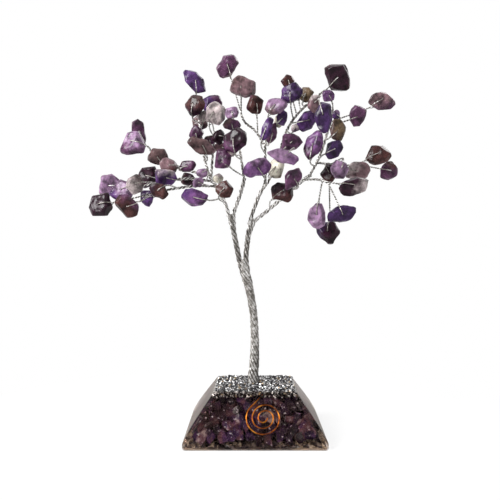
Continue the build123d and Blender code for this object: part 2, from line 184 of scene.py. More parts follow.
def resin_finish(name, tints, roughness, shine):
    """Cast resin, a little yellowed, rippled and scuffed, with its own clearness and shine."""
    material, tree, spot, shader = finish_material(name)
    ripple = grain(tree, spot, scale=120.0)
    bump = node(tree, "ShaderNodeBump", {"Height": ripple, "Strength": 0.05, "Distance": ripple_height})
    scuff = grain(tree, spot, scale=70.0, detail=5.0)
    fill(tree, shader, {
        "Normal": bump.outputs["Normal"], "Base Color": ramped(tree, scuff, tints),
        "Roughness": ranged(tree, scuff, scuff_range, roughness), **shine})
    return material


bm = bmesh.new()
profile = [(base_half - base_easing, 0.0), (base_half, base_easing), (base_half, lip_height)]
for step in range(1, face_steps):
    share = (step / (face_steps - 1)) ** step_power
    height = lip_height + (base_height - base_easing - lip_height) * share
    profile.append((min(base_half, face_at(height)), height))
profile.append((top_half - base_easing, base_height))
skin(bm, [rounded_square(bm, half, height) for half, height in profile])
clear_base = shown("clear_base", mesh_from(bm, "clear_base"))
clear_base.data.materials.append(resin_finish("clear_resin", clear_tints, (0.02, 0.08), {
    "Transmission Weight": 1.0, "IOR": 1.25, "Specular Tint": (0.55, 0.36, 0.30, 1)}))
clear_base.data.materials.append(resin_finish("dull_resin", frosted_tints, (0.38, 0.50), {
    "Transmission Weight": 0.97, "IOR": 1.22, "Sheen Weight": 0.5, "Sheen Roughness": 0.3,
    "Sheen Tint": (0.30, 0.24, 0.20, 1)}))
for face in clear_base.data.polygons:
    across, deep, up = (abs(part) for part in face.normal)
    if across > max(2 * deep, up):
        face.material_index = 1
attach(clear_base, "stand")
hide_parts("resin_base")

# Stones in the base: tumbled amethyst chips, poured in loose and covered with resin. They lie
# close behind the clear sides, dark purple with a few brown, grey and pale ones, and small pale
# flecks painted on as highlights.
cast_pitch = 3.9 * mm
cast_levels = (4.4 * mm, 7.6 * mm, 10.9 * mm, 14.2 * mm, 17.4 * mm)
cast_room = 2.4 * mm
cast_stray = 0.9 * mm
cast_wall = 1.7 * mm
cast_low = 1.3 * mm
cast_high = 19.6 * mm
wall_room = 1.35
wall_wave = 0.7
wall_wave_scale = 260
cast_seed = 11
cast_form_count = 7
cast_corner_count = 15
cast_stretch = Vector((3.6, 2.9, 2.2)) * mm
cast_tints = ((0.0, (0.002, 0.001, 0.003)), (0.34, (0.010, 0.005, 0.017)), (0.60, (0.034, 0.013, 0.048)),
              (0.80, (0.074, 0.029, 0.034)), (0.92, (0.115, 0.068, 0.090)), (1.0, (0.260, 0.190, 0.185)))
drift_tint = (0.020, 0.008, 0.008, 1)
# Colour of the painted highlights on the cast stones.
painted_glint_tint = (0.40, 0.36, 0.40, 1)
pick_range = 1000


def within(value, limit):
    """A value held between a limit and its opposite."""
    return max(-limit, min(limit, value))


def faceted_stones(name, count, stretch, corner_count, seed):
    """Small stones with flat broken faces, each the hull of scattered corners."""
    stones = []
    for form in range(count):
        draw = random.Random(seed + form)
        bm = bmesh.new()
        for _ in range(corner_count):
            ray = Vector((draw.gauss(0, 1), draw.gauss(0, 1), draw.gauss(0, 1))).normalized()
            bm.verts.new(Vector(ray[axis] * stretch[axis] for axis in range(3)))
        hull = bmesh.ops.convex_hull(bm, input=bm.verts)
        spare = list(set(hull["geom_interior"] + hull["geom_unused"]))
        bmesh.ops.delete(bm, geom=spare, context="VERTS")
        label = f"{name}_form_{form}"
        stones.append(bpy.data.objects.new(label, mesh_from(bm, label)))
    return stones


def open_tree(name, inputs):
    """Geometry tree with these inputs, each a label and its kind, and the sockets that give them."""
    tree = bpy.data.node_groups.new(name, "GeometryNodeTree")
    tree.interface.new_socket("Geometry", in_out="OUTPUT", socket_type="NodeSocketGeometry")
    for label, kind in (("Geometry", "Geometry"), *inputs):
        tree.interface.new_socket(label, in_out="INPUT", socket_type="NodeSocket" + kind)
    return tree, node(tree, "NodeGroupInput", {}).outputs


def close_tree(tree, shape, finish):
    """End a geometry tree with real faces for its instances and a finish on them."""
    whole = node(tree, "GeometryNodeRealizeInstances", {"Geometry": shape})
    finished = node(tree, "GeometryNodeSetMaterial", {"Geometry": whole.outputs[0], "Material": finish})
    node(tree, "NodeGroupOutput", {"Geometry": finished.outputs[0]})
    return tree


def scatter_tree(name, on_surface):
    """Node tree that sets stones of a collection on points, each turned and sized by chance."""
    inputs = [("Stones", "Collection"), ("Finish", "Material"), ("Least Size", "Float"),
              ("Full Size", "Float"), ("Seed", "Int")]
    if on_surface:
        inputs.append(("Density", "Float"))
    tree, given = open_tree(name, inputs)
    points = given["Geometry"]
    seed = given["Seed"]
    if on_surface:
        points = node(tree, "GeometryNodeDistributePointsOnFaces", {
            "Mesh": points, "Density": given["Density"], "Seed": seed}).outputs["Points"]
    stones = node(tree, "GeometryNodeCollectionInfo", {
        "Collection": given["Stones"], "Separate Children": True, "Reset Children": True})
    pick = node(tree, "FunctionNodeRandomValue", {"Seed": seed}, data_type="INT")
    pick.inputs[5].default_value = pick_range
    turn = node(tree, "FunctionNodeRandomValue", {"Seed": seed}, data_type="FLOAT_VECTOR")
    turn.inputs[1].default_value = (math.tau, math.tau, math.tau)
    size = node(tree, "FunctionNodeRandomValue", {
        2: given["Least Size"], 3: given["Full Size"], "Seed": seed}, data_type="FLOAT")
    placed = node(tree, "GeometryNodeInstanceOnPoints", {
        "Points": points, "Instance": stones.outputs[0], "Pick Instance": True,
        "Instance Index": pick.outputs[2], "Rotation": turn.outputs[0], "Scale": size.outputs[1]})
    shade = node(tree, "FunctionNodeRandomValue", {"Seed": seed}, data_type="FLOAT")
    toned = node(tree, "GeometryNodeStoreNamedAttribute", {
        "Geometry": placed.outputs[0], "Name": "tone", "Value": shade.outputs[1]},
        data_type="FLOAT", domain="INSTANCE")
    return close_tree(tree, toned.outputs[0], given["Finish"])


def run_tree(piece, tree, values):
    """Plain mesh that a node tree makes of a piece, with these values for its named inputs."""
    modifier = piece.modifiers.new("making", "NODES")
    modifier.node_group = tree
    for item in tree.interface.items_tree:
        if item.in_out == "INPUT" and item.name in values:
            modifier[item.identifier] = values[item.name]
    depsgraph = bpy.context.evaluated_depsgraph_get()
    mesh = bpy.data.meshes.new_from_object(piece.evaluated_get(depsgraph), depsgraph=depsgraph)
    piece.modifiers.remove(modifier)
    return mesh


def scattered_piece(name, ground, stones, values):
    """Piece made of many stones, on the points of a ground mesh or, with a density, on its faces."""
    heap = bpy.data.collections.new(name + "_forms")
    for stone in stones:
        heap.objects.link(stone)
    ground = shown(name + "_ground", ground)
    tree = scatter_tree(name + "_scatter", on_surface="Density" in values)
    mesh = run_tree(ground, tree, {"Stones": heap, **values})
    mesh.name = name
    for stone in stones:
        bpy.data.objects.remove(stone)
    bpy.data.collections.remove(heap)
    bpy.data.objects.remove(ground)
    return shown(name, mesh)


def press_inside(piece, room, low, high):
    """Press the stones of a piece back where they lie against the walls of the mould, unevenly."""
    for vert in piece.data.vertices:
        vert.co.z = max(low, min(high, vert.co.z))
        wave = wall_room + wall_wave * noise.noise(vert.co * wall_wave_scale)
        limit = half_at(vert.co.z) - room * wave
        vert.co.x = within(vert.co.x, limit)
        vert.co.y = within(vert.co.y, limit)


def maths(tree, operation, *values, **settings):
    """Output of a Math node on these values or sockets."""
    inputs = dict(enumerate(values))
    return node(tree, "ShaderNodeMath", inputs, operation=operation, **settings).outputs[0]


def kept_value(tree, label, output="Fac"):
    """What a mesh keeps under a label at each point."""
    return node(tree, "ShaderNodeAttribute", {}, attribute_name=label).outputs[output]


def mixed(tree, share, first, second):
    """Colour between two others."""
    inputs = {0: share, 6: first, 7: second}
    return node(tree, "ShaderNodeMix", inputs, data_type="RGBA").outputs[2]


def toned_tint(tree, spot, scale, swing, shift, tints):
    """Colour by each stone's own tone and by the bands within the stone."""
    bands = maths(tree, "MULTIPLY_ADD", grain(tree, spot, scale, detail=4.0), swing, shift)
    return ramped(tree, maths(tree, "ADD", bands, kept_value(tree, "tone")), tints)


cast_stone, tree, spot, shader = finish_material("cast_amethyst")
banded = toned_tint(tree, spot, scale=420.0, swing=1.1, shift=-0.62, tints=cast_tints)
drift = ranged(tree, grain(tree, spot, scale=75.0, detail=1.0), (0.44, 0.66), (0.0, 0.6))
# Painted highlights: small pale flecks mixed into the stones' colour stand in for glints.
painted_glint = ranged(tree, grain(tree, spot, scale=800.0, detail=3.0), (0.63, 0.70))
fill(tree, shader, {
    "Base Color": mixed(tree, painted_glint, mixed(tree, drift, banded, drift_tint), painted_glint_tint),
    "Roughness": 0.14, "Specular IOR Level": 0.08})

draw = random.Random(cast_seed)
bm = bmesh.new()
for level in cast_levels:
    room = half_at(level) - cast_room
    count = int(2 * room / cast_pitch) + 1
    for row in range(count):
        for column in range(count):
            across = -room + 2 * room * column / (count - 1)
            deep = -room + 2 * room * row / (count - 1)
            stray = Vector((draw.uniform(-1, 1), draw.uniform(-1, 1), draw.uniform(-1, 1))) * cast_stray
            put = Vector((across, deep, level)) + stray
            limit = half_at(put.z) - cast_room
            bm.verts.new((within(put.x, limit), within(put.y, limit), put.z))
cast_stones = scattered_piece(
    "cast_stones", mesh_from(bm, "cast_ground"),
    faceted_stones("cast", cast_form_count, cast_stretch, cast_corner_count, seed=40),
    {"Finish": cast_stone, "Least Size": 0.72, "Full Size": 1.0, "Seed": 5})
press_inside(cast_stones, cast_wall, cast_low, cast_high)
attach(cast_stones, "stand")
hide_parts("cast_chips")

# Dust and crumbs: brown and grey splinters of the same stone, which sank to the bottom of the
# mould before the resin set and show as a tan and dark band along the foot of the base. The dust
# is an opaque sheet across the whole bottom, partly dust and partly painted shade: its dark tints
# stand in for the shaded floor under the base, seen through the resin.
dust_low = 0.25 * mm
dust_high = 0.7 * mm
dust_room = 0.7 * mm
dust_and_shade_tints = ((0.36, (0.012, 0.008, 0.013)), (0.48, (0.060, 0.042, 0.036)), (0.62, (0.260, 0.200, 0.150)))
pale_ends = (12.0 * mm, 28.0 * mm)
crumb_level = 1.4 * mm
crumb_room = 1.2 * mm
crumb_wall = 0.8 * mm
crumb_form_count = 4
crumb_corner_count = 10
crumb_stretch = Vector((1.9, 1.3, 0.6)) * mm
crumb_density = 0.45e6
crumb_settling = 0.7
crumb_tints = ((0.0, (0.008, 0.005, 0.010)), (0.45, (0.030, 0.019, 0.024)), (0.72, (0.100, 0.073, 0.056)),
               (1.0, (0.300, 0.235, 0.170)))

# The dust sheet's dark tints are partly painted shade, standing in for the shaded floor seen through the
# base.
dust_and_shade, tree, spot, shader = finish_material("cast_dust")
patch = grain(tree, spot, scale=130.0, detail=5.0, Distortion=0.8)
across = maths(tree, "ABSOLUTE", node(tree, "ShaderNodeSeparateXYZ", {"Vector": spot}).outputs["X"])
paler = maths(tree, "ADD", patch, ranged(tree, across, pale_ends, (-0.06, 0.16)))
fill(tree, shader, {"Base Color": ramped(tree, paler, dust_and_shade_tints), "Roughness": 0.6})
bm = bmesh.new()
skin(bm, [rounded_square(bm, base_half - dust_room, height) for height in (dust_low, dust_high)])
dust_and_shade_layer = shown("cast_dust", mesh_from(bm, "cast_dust"))
dust_and_shade_layer.data.materials.append(dust_and_shade)
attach(dust_and_shade_layer, "stand")

crumb_stone, tree, spot, shader = finish_material("cast_crumbs")
crumb_tint = toned_tint(tree, spot, scale=900.0, swing=0.5, shift=-0.25, tints=crumb_tints)
fill(tree, shader, {"Base Color": crumb_tint, "Roughness": 0.3})
bm = bmesh.new()
bmesh.ops.create_grid(bm, x_segments=2, y_segments=2, size=base_half - crumb_room,
                      matrix=Matrix.Translation((0, 0, crumb_level)))
crumbs = scattered_piece(
    "cast_crumbs", mesh_from(bm, "crumb_ground"),
    faceted_stones("crumb", crumb_form_count, crumb_stretch, crumb_corner_count, seed=90),
    {"Finish": crumb_stone, "Least Size": 0.5, "Full Size": 1.0, "Seed": 8, "Density": crumb_density})
for vert in crumbs.data.vertices:
    vert.co.z = dust_high + (vert.co.z - dust_high) * crumb_settling
press_inside(crumbs, crumb_wall, dust_high, base_height)
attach(crumbs, "stand")

# Spiral: one length of bright copper wire, wound flat by hand from its middle outwards, and
# cast in just behind the front face with its straight end towards the top edge.
spiral_wire = 0.55 * mm
spiral_sides = 12
spiral_radius = 6.9 * mm
spiral_step = 1.25 * mm
spiral_half_turns = 5
spiral_lead_turn = math.radians(43)
spiral_tail = 8.0 * mm
spiral_cover = 0.65 * mm
spiral_across = 3.1 * mm
spiral_up = 12.0 * mm
arc_steps = 24
copper_tints = ((0.36, (0.20, 0.045, 0.006)), (0.50, (0.55, 0.16, 0.012)), (0.64, (0.95, 0.42, 0.05)))


def wire_mesh(name, runs, radius, sides):
    """Round wire along runs of points, as one mesh."""
    bm = bmesh.new()
    for points in runs:
        rings = []
        along = (points[1] - points[0]).normalized()
        across = along.orthogonal().normalized()
        for index, point in enumerate(points):
            before = points[max(index - 1, 0)]
            after = points[min(index + 1, len(points) - 1)]
            fresh = (after - before).normalized()
            across = (along.rotation_difference(fresh) @ across).normalized()
            along = fresh
            other = along.cross(across)
            ring = []
            for side in range(sides):
                angle = math.tau * side / sides
                out = across * math.cos(angle) + other * math.sin(angle)
                ring.append(bm.verts.new(point + out * radius))
            rings.append(ring)
        skin(bm, rings)
    for face in bm.faces:
        face.smooth = len(face.verts) == 4
    return mesh_from(bm, name)


def arc(centre_x, radius, start, sweep):
    """Points along an arc of the flat spiral."""
    turns = [start + sweep * step / arc_steps for step in range(arc_steps + 1)]
    return [Vector((centre_x + radius * math.cos(turn), radius * math.sin(turn), 0)) for turn in turns]


lean = math.atan2(base_half - top_half, base_height - lip_height)
lead_start = math.pi - spiral_lead_turn
lead = arc(0, spiral_radius, lead_start, spiral_lead_turn)
lead_way = Vector((-math.sin(lead_start), math.cos(lead_start), 0))
flat_spiral = [lead[0] - lead_way * spiral_tail] + lead
for turn in range(spiral_half_turns):
    shift = spiral_step if turn % 2 else 0
    flat_spiral += arc(shift, spiral_radius - turn * spiral_step, math.pi * (turn + 1), math.pi)[1:]
behind_face = Matrix.Translation((spiral_across, -half_at(spiral_up), spiral_up))
behind_face @= Matrix.Rotation(math.pi / 2 - lean, 4, "X")
behind_face @= Matrix.Translation((0, 0, -spiral_cover - spiral_wire / 2))
coil_run = [behind_face @ point for point in flat_spiral]
copper_coil = shown("copper_coil", wire_mesh("copper_coil", [coil_run], spiral_wire / 2, spiral_sides))
copper, tree, spot, shader = finish_material("bright_copper")
stain = grain(tree, spot, scale=260.0, detail=4.0)
fill(tree, shader, {
    "Base Color": ramped(tree, stain, copper_tints), "Metallic": 1.0, "Roughness": 0.28})
copper_coil.data.materials.append(copper)
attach(copper_coil, "stand")
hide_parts("copper_spiral")

# Granules: crushed silver-coloured glitter stone, strewn over the top while the resin was wet.
# They lie in a low uneven heap round the trunk's foot, and the lowest sit in the resin itself.
heap_half = 17.6 * mm
heap_low = 20.6 * mm
heap_rise = 1.5 * mm
heap_edge = 2.5 * mm
heap_floor = 0.5
heap_lump_scale = 150
heap_lump_level = 0.55
heap_lump_swing = 0.45
heap_steps = 24
skirt_low = 19.2 * mm
skirt_room = 0.9 * mm
granule_form_count = 5
granule_corner_count = 9
granule_stretch = Vector((0.80, 0.62, 0.42)) * mm
granule_density = 3.0e6
glitter_tints = ((0.0, (0.36, 0.36, 0.36)), (0.20, (0.95, 0.95, 0.95)), (0.50, (0.012, 0.011, 0.013)),
                 (0.84, (0.09, 0.085, 0.085)), (0.98, (0.34, 0.26, 0.17)))

bm = bmesh.new()
grid = []
for row in range(heap_steps + 1):
    line = []
    for column in range(heap_steps + 1):
        across = -heap_half + 2 * heap_half * column / heap_steps
        deep = -heap_half + 2 * heap_half * row / heap_steps
        edge = min(1.0, (heap_half - max(abs(across), abs(deep))) / heap_edge)
        lump = heap_lump_level + heap_lump_swing * noise.noise(Vector((across, deep, 0)) * heap_lump_scale)
        risen = heap_rise * edge * (heap_floor + (1 - heap_floor) * lump)
        line.append(bm.verts.new((across, deep, heap_low + risen)))
    grid.append(line)
for near, far in zip(grid, grid[1:]):
    for column in range(heap_steps):
        bm.faces.new((near[column], near[column + 1], far[column + 1], far[column]))
skirt = [rounded_square(bm, half_at(height) - skirt_room, height) for height in (skirt_low, base_height)]
skin(bm, skirt, closed_ends=False)

glitter, tree, spot, shader = finish_material("silver_granules")
fill(tree, shader, {
    "Base Color": ramped(tree, kept_value(tree, "tone"), glitter_tints, "CONSTANT"), "Metallic": 0.9,
    "Roughness": ranged(tree, grain(tree, spot, scale=2500.0), (0.0, 1.0), (0.12, 0.5))})
granule_heap = scattered_piece(
    "granule_heap", mesh_from(bm, "heap_ground"),
    faceted_stones("granule", granule_form_count, granule_stretch, granule_corner_count, seed=70),
    {"Finish": glitter, "Least Size": 0.5, "Full Size": 1.25, "Seed": 3, "Density": granule_density})
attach(granule_heap, "stand")
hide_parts("granules", "granule_bed")

# Trunk: all the wires of the tree laid together in twisted pairs and twisted again as a rope.
# Its foot is cast into the base, and its upper end divides into two limbs.
crown_width = 138.0 * mm
crown_depth = 130.0 * mm
tree_height = 170.0 * mm
flare_share = 0.42
sight_across_share = -0.016
sight_up_share = 0.494
strand_radius = 0.2 * mm
strand_sides = 6
strand_step = 0.36 * mm
strand_lead = 0.37
lay_weight = 0.6
sway_scale = 260.0
sway_share = 0.6
trunk_shares = ((-0.007, 0.056), (-0.007, 0.135), (-0.001, 0.186), (0.0, 0.225), (0.0, 0.268),
                (-0.005, 0.321), (-0.016, 0.372), (-0.028, 0.411), (-0.038, 0.446), (-0.0405, 0.454))
trunk_lay = (1.95, 1.95, 1.70, 1.45, 1.30, 1.22, 1.45, 1.75, 1.2, 0.5)
core_share = 0.4
tarnish_depth = 0.6
wire_tints = ((0.0, (0.010, 0.008, 0.007)), (0.36, (0.042, 0.033, 0.027)), (0.66, (0.27, 0.248, 0.225)),
              (0.95, (0.94, 0.93, 0.92)))


def place(across_share, deep_share, up_share):
    """Point of the crown from its shares across, deep and up."""
    flare = 1 + deep_share * flare_share
    across = sight_across_share + (across_share - sight_across_share) * flare
    up = sight_up_share + (up_share - sight_up_share) * flare
    return Vector((across * crown_width, deep_share * crown_depth, up * tree_height))


def vectors(tree, operation, *values, output="Vector", **inputs):
    """Output of a Vector Math node on these values or sockets."""
    inputs.update(enumerate(values))
    return node(tree, "ShaderNodeVectorMath", inputs, operation=operation).outputs[output]


def wound(tree, curve, count, reach, turns, lead, radius, label):
    """Copies of each curve, wound about it at a reach, that keep their way out under a label."""
    copies = node(tree, "GeometryNodeDuplicateElements", {
        "Geometry": curve, "Amount": count}, domain="SPLINE")
    number = copies.outputs["Duplicate Index"]
    run = node(tree, "GeometryNodeSplineParameter", {}).outputs["Length"]
    turned = maths(tree, "MULTIPLY_ADD", run, turns, maths(tree, "DIVIDE", number, count))
    angle = maths(tree, "MULTIPLY", maths(tree, "ADD", turned, lead), math.tau)
    spot = node(tree, "GeometryNodeInputPosition", {}).outputs[0]
    sway = node(tree, "ShaderNodeTexNoise", {
        "Vector": spot, "W": number, "Scale": sway_scale, "Detail": 1.0}, noise_dimensions="4D")
    loose = maths(tree, "MULTIPLY_ADD", sway.outputs["Fac"], sway_share, 1 - sway_share / 2)
    reach = maths(tree, "MULTIPLY", reach, loose)
    normal = node(tree, "GeometryNodeInputNormal", {}).outputs["Normal"]
    tangent = node(tree, "GeometryNodeInputTangent", {}).outputs["Tangent"]
    cross = vectors(tree, "CROSS_PRODUCT", tangent, normal)
    one = vectors(tree, "SCALE", normal, Scale=maths(tree, "COSINE", angle))
    two = vectors(tree, "SCALE", cross, Scale=maths(tree, "SINE", angle))
    out = vectors(tree, "ADD", one, two)
    held = maths(tree, "DIVIDE", reach, radius, use_clamp=True)
    marked = node(tree, "GeometryNodeStoreNamedAttribute", {
        "Geometry": copies.outputs["Geometry"], "Name": label,
        "Value": vectors(tree, "SCALE", out, Scale=held)}, data_type="FLOAT_VECTOR", domain="POINT")
    away = vectors(tree, "SCALE", out, Scale=reach)
    moved = node(tree, "GeometryNodeSetPosition", {"Geometry": marked.outputs[0], "Offset": away})
    return moved.outputs[0], number


def facing(tree, label):
    """How far a strand's skin faces the way kept under a label, and that way itself."""
    kept = node(tree, "GeometryNodeInputNamedAttribute", {"Name": label}, data_type="FLOAT_VECTOR")
    normal = node(tree, "GeometryNodeInputNormal", {}).outputs["Normal"]
    return vectors(tree, "DOT_PRODUCT", normal, kept.outputs[0], output="Value"), kept.outputs[0]


def laid_wire_tree():
    """Node tree that lays bundles of strands round each route, at the route's own radius, and stores
    painted light on the strands' crests and painted shade in the grooves between them.
    """
    tree, given = open_tree("laid_wire", (
        ("Bundles", "Int"), ("Strands", "Int"), ("Strand Sides", "Int"), ("Lay Turns", "Float"),
        ("Bundle Turns", "Float"), ("Strand Radius", "Float"), ("Strand Reach", "Float"), ("Step", "Float"),
        ("Finish", "Material")))
    even = node(tree, "GeometryNodeResampleCurve", {
        "Curve": given["Geometry"], "Length": given["Step"]}, mode="LENGTH")
    lay = node(tree, "GeometryNodeInputRadius", {}).outputs["Radius"]
    thickness = given["Strand Radius"]
    bundles, number = wound(tree, even.outputs[0], given["Bundles"], lay, given["Lay Turns"], 0.0,
                            thickness, "lay_way")
    strands, _ = wound(tree, bundles, given["Strands"], given["Strand Reach"], given["Bundle Turns"],
                       maths(tree, "MULTIPLY", number, strand_lead), thickness, "strand_way")
    plain = node(tree, "GeometryNodeSetCurveRadius", {"Curve": strands, "Radius": 1.0})
    ring = node(tree, "GeometryNodeCurvePrimitiveCircle", {
        "Resolution": given["Strand Sides"], "Radius": thickness})
    tube = node(tree, "GeometryNodeCurveToMesh", {
        "Curve": plain.outputs[0], "Profile Curve": ring.outputs[0], "Fill Caps": True})
    # Painted light and shade: strand skin facing out of the rope and out of its bundle is stored as bright,
    # and skin facing into the grooves as dark.
    lay_facing, lay_way = facing(tree, "lay_way")
    strand_facing, _ = facing(tree, "strand_way")
    laid = vectors(tree, "LENGTH", lay_way, output="Value")
    rest = maths(tree, "MULTIPLY_ADD", laid, -lay_weight, 1.0)
    low = maths(tree, "MULTIPLY", strand_facing, rest)
    crest = maths(tree, "MULTIPLY_ADD", lay_facing, lay_weight, low)
    shaped = node(tree, "GeometryNodeStoreNamedAttribute", {
        "Geometry": tube.outputs[0], "Name": "crest", "Value": crest}, data_type="FLOAT", domain="POINT")
    for label in ("lay_way", "strand_way"):
        shaped = node(tree, "GeometryNodeRemoveAttribute", {"Geometry": shaped.outputs[0], "Name": label})
    return close_tree(tree, shaped.outputs[0], given["Finish"])


def route_curve(name, routes):
    """Curve object with a smooth line for each route of points and lay radii."""
    curve = bpy.data.curves.new(name, "CURVE")
    curve.dimensions = "3D"
    for points, radii in routes:
        line = curve.splines.new("NURBS")
        line.points.add(len(points) - 1)
        for knot, point, radius in zip(line.points, points, radii):
            knot.co = (*point, 1)
            knot.radius = radius
        line.order_u = min(4, len(points))
        line.use_endpoint_u = True
        line.resolution_u = 8
    return shown(name, curve)


def laid_mesh(name, routes, bundles, strands, lay_turns, bundle_turns):
    """Mesh of bundles of strands laid round these routes, with the turns of each in a metre."""
    line = route_curve(name + "_route", routes)
    mesh = run_tree(line, laid_wire, {
        "Bundles": bundles, "Strands": strands, "Lay Turns": lay_turns, "Bundle Turns": bundle_turns,
        "Strand Radius": strand_radius, "Strand Reach": strand_radius / math.sin(math.pi / strands),
        "Step": strand_step, "Strand Sides": strand_sides, "Finish": silver_wire})
    curve = line.data
    bpy.data.objects.remove(line)
    bpy.data.curves.remove(curve)
    return mesh


def joined_piece(name, meshes):
    """One piece from several meshes, with smooth strands."""
    bm = bmesh.new()
    # Every vertex gets a level of painted light and shade, zero where a mesh brings none.
    bm.verts.layers.float.new("crest")
    for mesh in meshes:
        bm.from_mesh(mesh)
        bpy.data.meshes.remove(mesh)
    for face in bm.faces:
        face.smooth = len(face.verts) == 4
        face.material_index = 0
    piece = shown(name, mesh_from(bm, name))
    piece.data.materials.append(silver_wire)
    return piece


laid_wire = laid_wire_tree()
# The wire's colour carries painted shade in the grooves between strands and painted highlights on their
# crests, with real rubbing and tarnish mixed in.
silver_wire, tree, spot, shader = finish_material("silver_wire")
rub = grain(tree, spot, scale=760.0)
rubbed = maths(tree, "SUBTRACT", rub, 0.5)
tarnish = grain(tree, spot, scale=210.0, detail=3.0)
dimmed = maths(tree, "MULTIPLY_ADD", tarnish, tarnish_depth, -tarnish_depth / 2)
high = maths(tree, "ADD", maths(tree, "ADD", kept_value(tree, "crest"), rubbed), dimmed)
fill(tree, shader, {
    "Base Color": ramped(tree, ranged(tree, high, (0.12, 1.04)), wire_tints), "Metallic": 0.35,
    "Roughness": ranged(tree, rub, (0.0, 1.0), (0.45, 0.22))})

trunk_line = [place(across, 0, up) for across, up in trunk_shares]
trunk_rope = joined_piece("trunk_rope", [
    laid_mesh("trunk", [(trunk_line, [radius * mm for radius in trunk_lay])],
              bundles=9, strands=5, lay_turns=-42, bundle_turns=-150),
    laid_mesh("trunk_core", [(trunk_line, [radius * mm * core_share for radius in trunk_lay])],
              bundles=3, strands=3, lay_turns=-42, bundle_turns=-150)])
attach(trunk_rope, "stand")
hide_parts("trunk")

# Limbs: the two halves of the trunk's wires, twisted apart above the main fork. Each starts
# inside the trunk, so the bundle runs on where the soft wire is bent.
limb_shares = {
    "left_limb": (-1, "left_crown", ((-0.065, 0.0, 0.507), (-0.074, 0.0, 0.549), (-0.077, 0.0, 0.566))),
    "right_limb": (1, "right_crown", ((-0.025, 0.0, 0.509), (-0.017, 0.0, 0.546), (-0.010, 0.0, 0.556))),
}
limb_roots = ((11 * mm, 0.7 * mm), (5 * mm, 0.25 * mm))
limb_steps = 12
limb_end = 1.5 * mm
limb_lay = (0.5 * mm, 0.8 * mm, 0.35 * mm)
fork_lead = 2 * mm
forks = {joint["child"]: Vector(joint["pos_m"]) for joint in frame["joints"]}
trunk_way = Vector((-0.197, 0, 0.980)).normalized()
trunk_side = Vector((trunk_way.z, 0, -trunk_way.x))
limb_lines = {}
limb_ways = {}


def smooth_line(start, way, shares, count):
    """Points along the smooth line of a limb or bough, from its start and first way to its places."""
    controls = [start, start + way * fork_lead] + [place(*share) for share in shares]
    line = []
    for step in range(count + 1):
        points = controls
        while len(points) > 1:
            points = [before.lerp(after, step / count) for before, after in zip(points, points[1:])]
        line.append(points[0])
    return line


for name, (side, body, shares) in limb_shares.items():
    start = forks[body]
    below = [start - trunk_way * down - trunk_side * side * aside for down, aside in limb_roots]
    limb_lines[name] = smooth_line(start, trunk_way, shares, limb_steps)
    limb_ways[name] = (place(*shares[-1]) - place(*shares[-2])).normalized()
    line = below + limb_lines[name] + [limb_lines[name][-1] + limb_ways[name] * limb_end]
    lay = [limb_lay[0]] + [limb_lay[1]] * (len(line) - 2) + [limb_lay[2]]
    rope = joined_piece(name + "_rope", [
        laid_mesh(name, [(line, lay)], bundles=5, strands=4, lay_turns=-62, bundle_turns=-170)])
    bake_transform(rope)
    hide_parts(name)

# Boughs: thinner bundles of the same silver wire. Each limb divides into two, one that goes out to
# the side and one that goes up the middle, and the wires run on from the limb unbroken.
bough_shares = {
    "left_outer_bough": ("left_limb", -1, "left_crown", "left_outer", (
        (-0.0905, 0.0, 0.600), (-0.103, 0.005, 0.617), (-0.127, 0.03, 0.650), (-0.150, 0.04, 0.680))),
    "left_inner_bough": ("left_limb", 1, "left_crown", None, (
        (-0.052, 0.0, 0.611), (-0.039, 0.0, 0.649), (-0.034, 0.0, 0.671))),
    "right_inner_bough": ("right_limb", -1, "right_crown", None, (
        (-0.001, 0.0, 0.597), (0.0124, 0.0, 0.626), (0.023, 0.0, 0.639))),
    "right_outer_bough": ("right_limb", 1, "right_crown", "right_outer", (
        (0.039, 0.01, 0.578), (0.077, 0.025, 0.610), (0.1176, 0.03, 0.640), (0.152, 0.025, 0.663),
        (0.183, 0.02, 0.680))),
}
bough_aside = 1.15 * mm
bough_up = 0.6 * mm
bough_roots = ((0.45, 0.2 * mm), (0.78, 0.6 * mm))
bough_steps = 24
bough_lay = (0.2 * mm, 0.35 * mm, 0.5 * mm)
lines = {}


def point_along(line, share):
    """Point a share of the way along a line of points."""
    lengths = [(after - before).length for before, after in zip(line, line[1:])]
    left = share * sum(lengths)
    for before, after, length in zip(line, line[1:], lengths):
        if left <= length:
            return before.lerp(after, left / length)
        left -= length
    return line[-1].copy()


def with_lighter_painted_shade(mesh, least, relief):
    """Thinner wire has shallower grooves, so its painted groove shade is lightened and its painted crest
    light raised.
    """
    for crest in mesh.attributes["crest"].data:
        crest.value = least + relief * crest.value
    return mesh


for name, (limb, side, limb_body, bough_body, shares) in bough_shares.items():
    limb_line = limb_lines[limb]
    limb_way = limb_ways[limb]
    limb_side = Vector((limb_way.z, 0, -limb_way.x)).normalized()
    start = limb_line[-1] + limb_way * bough_up + limb_side * side * bough_aside
    lines[name] = smooth_line(start, limb_way, shares, bough_steps)
    below = [point_along(limb_line, share) + limb_side * side * aside for share, aside in bough_roots]
    lay = [bough_lay[0], bough_lay[1]] + [bough_lay[2]] * len(lines[name])
    bough = laid_mesh(name, [(below + lines[name], lay)], bundles=4, strands=3,
                      lay_turns=-85, bundle_turns=-190)
    # Lighter painted groove shade for the boughs' thinner wire.
    rope = joined_piece(name + "_rope", [with_lighter_painted_shade(bough, least=0.26, relief=0.9)])
    if bough_body:
        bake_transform(rope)
    else:
        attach(rope, limb_body)
    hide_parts(name)

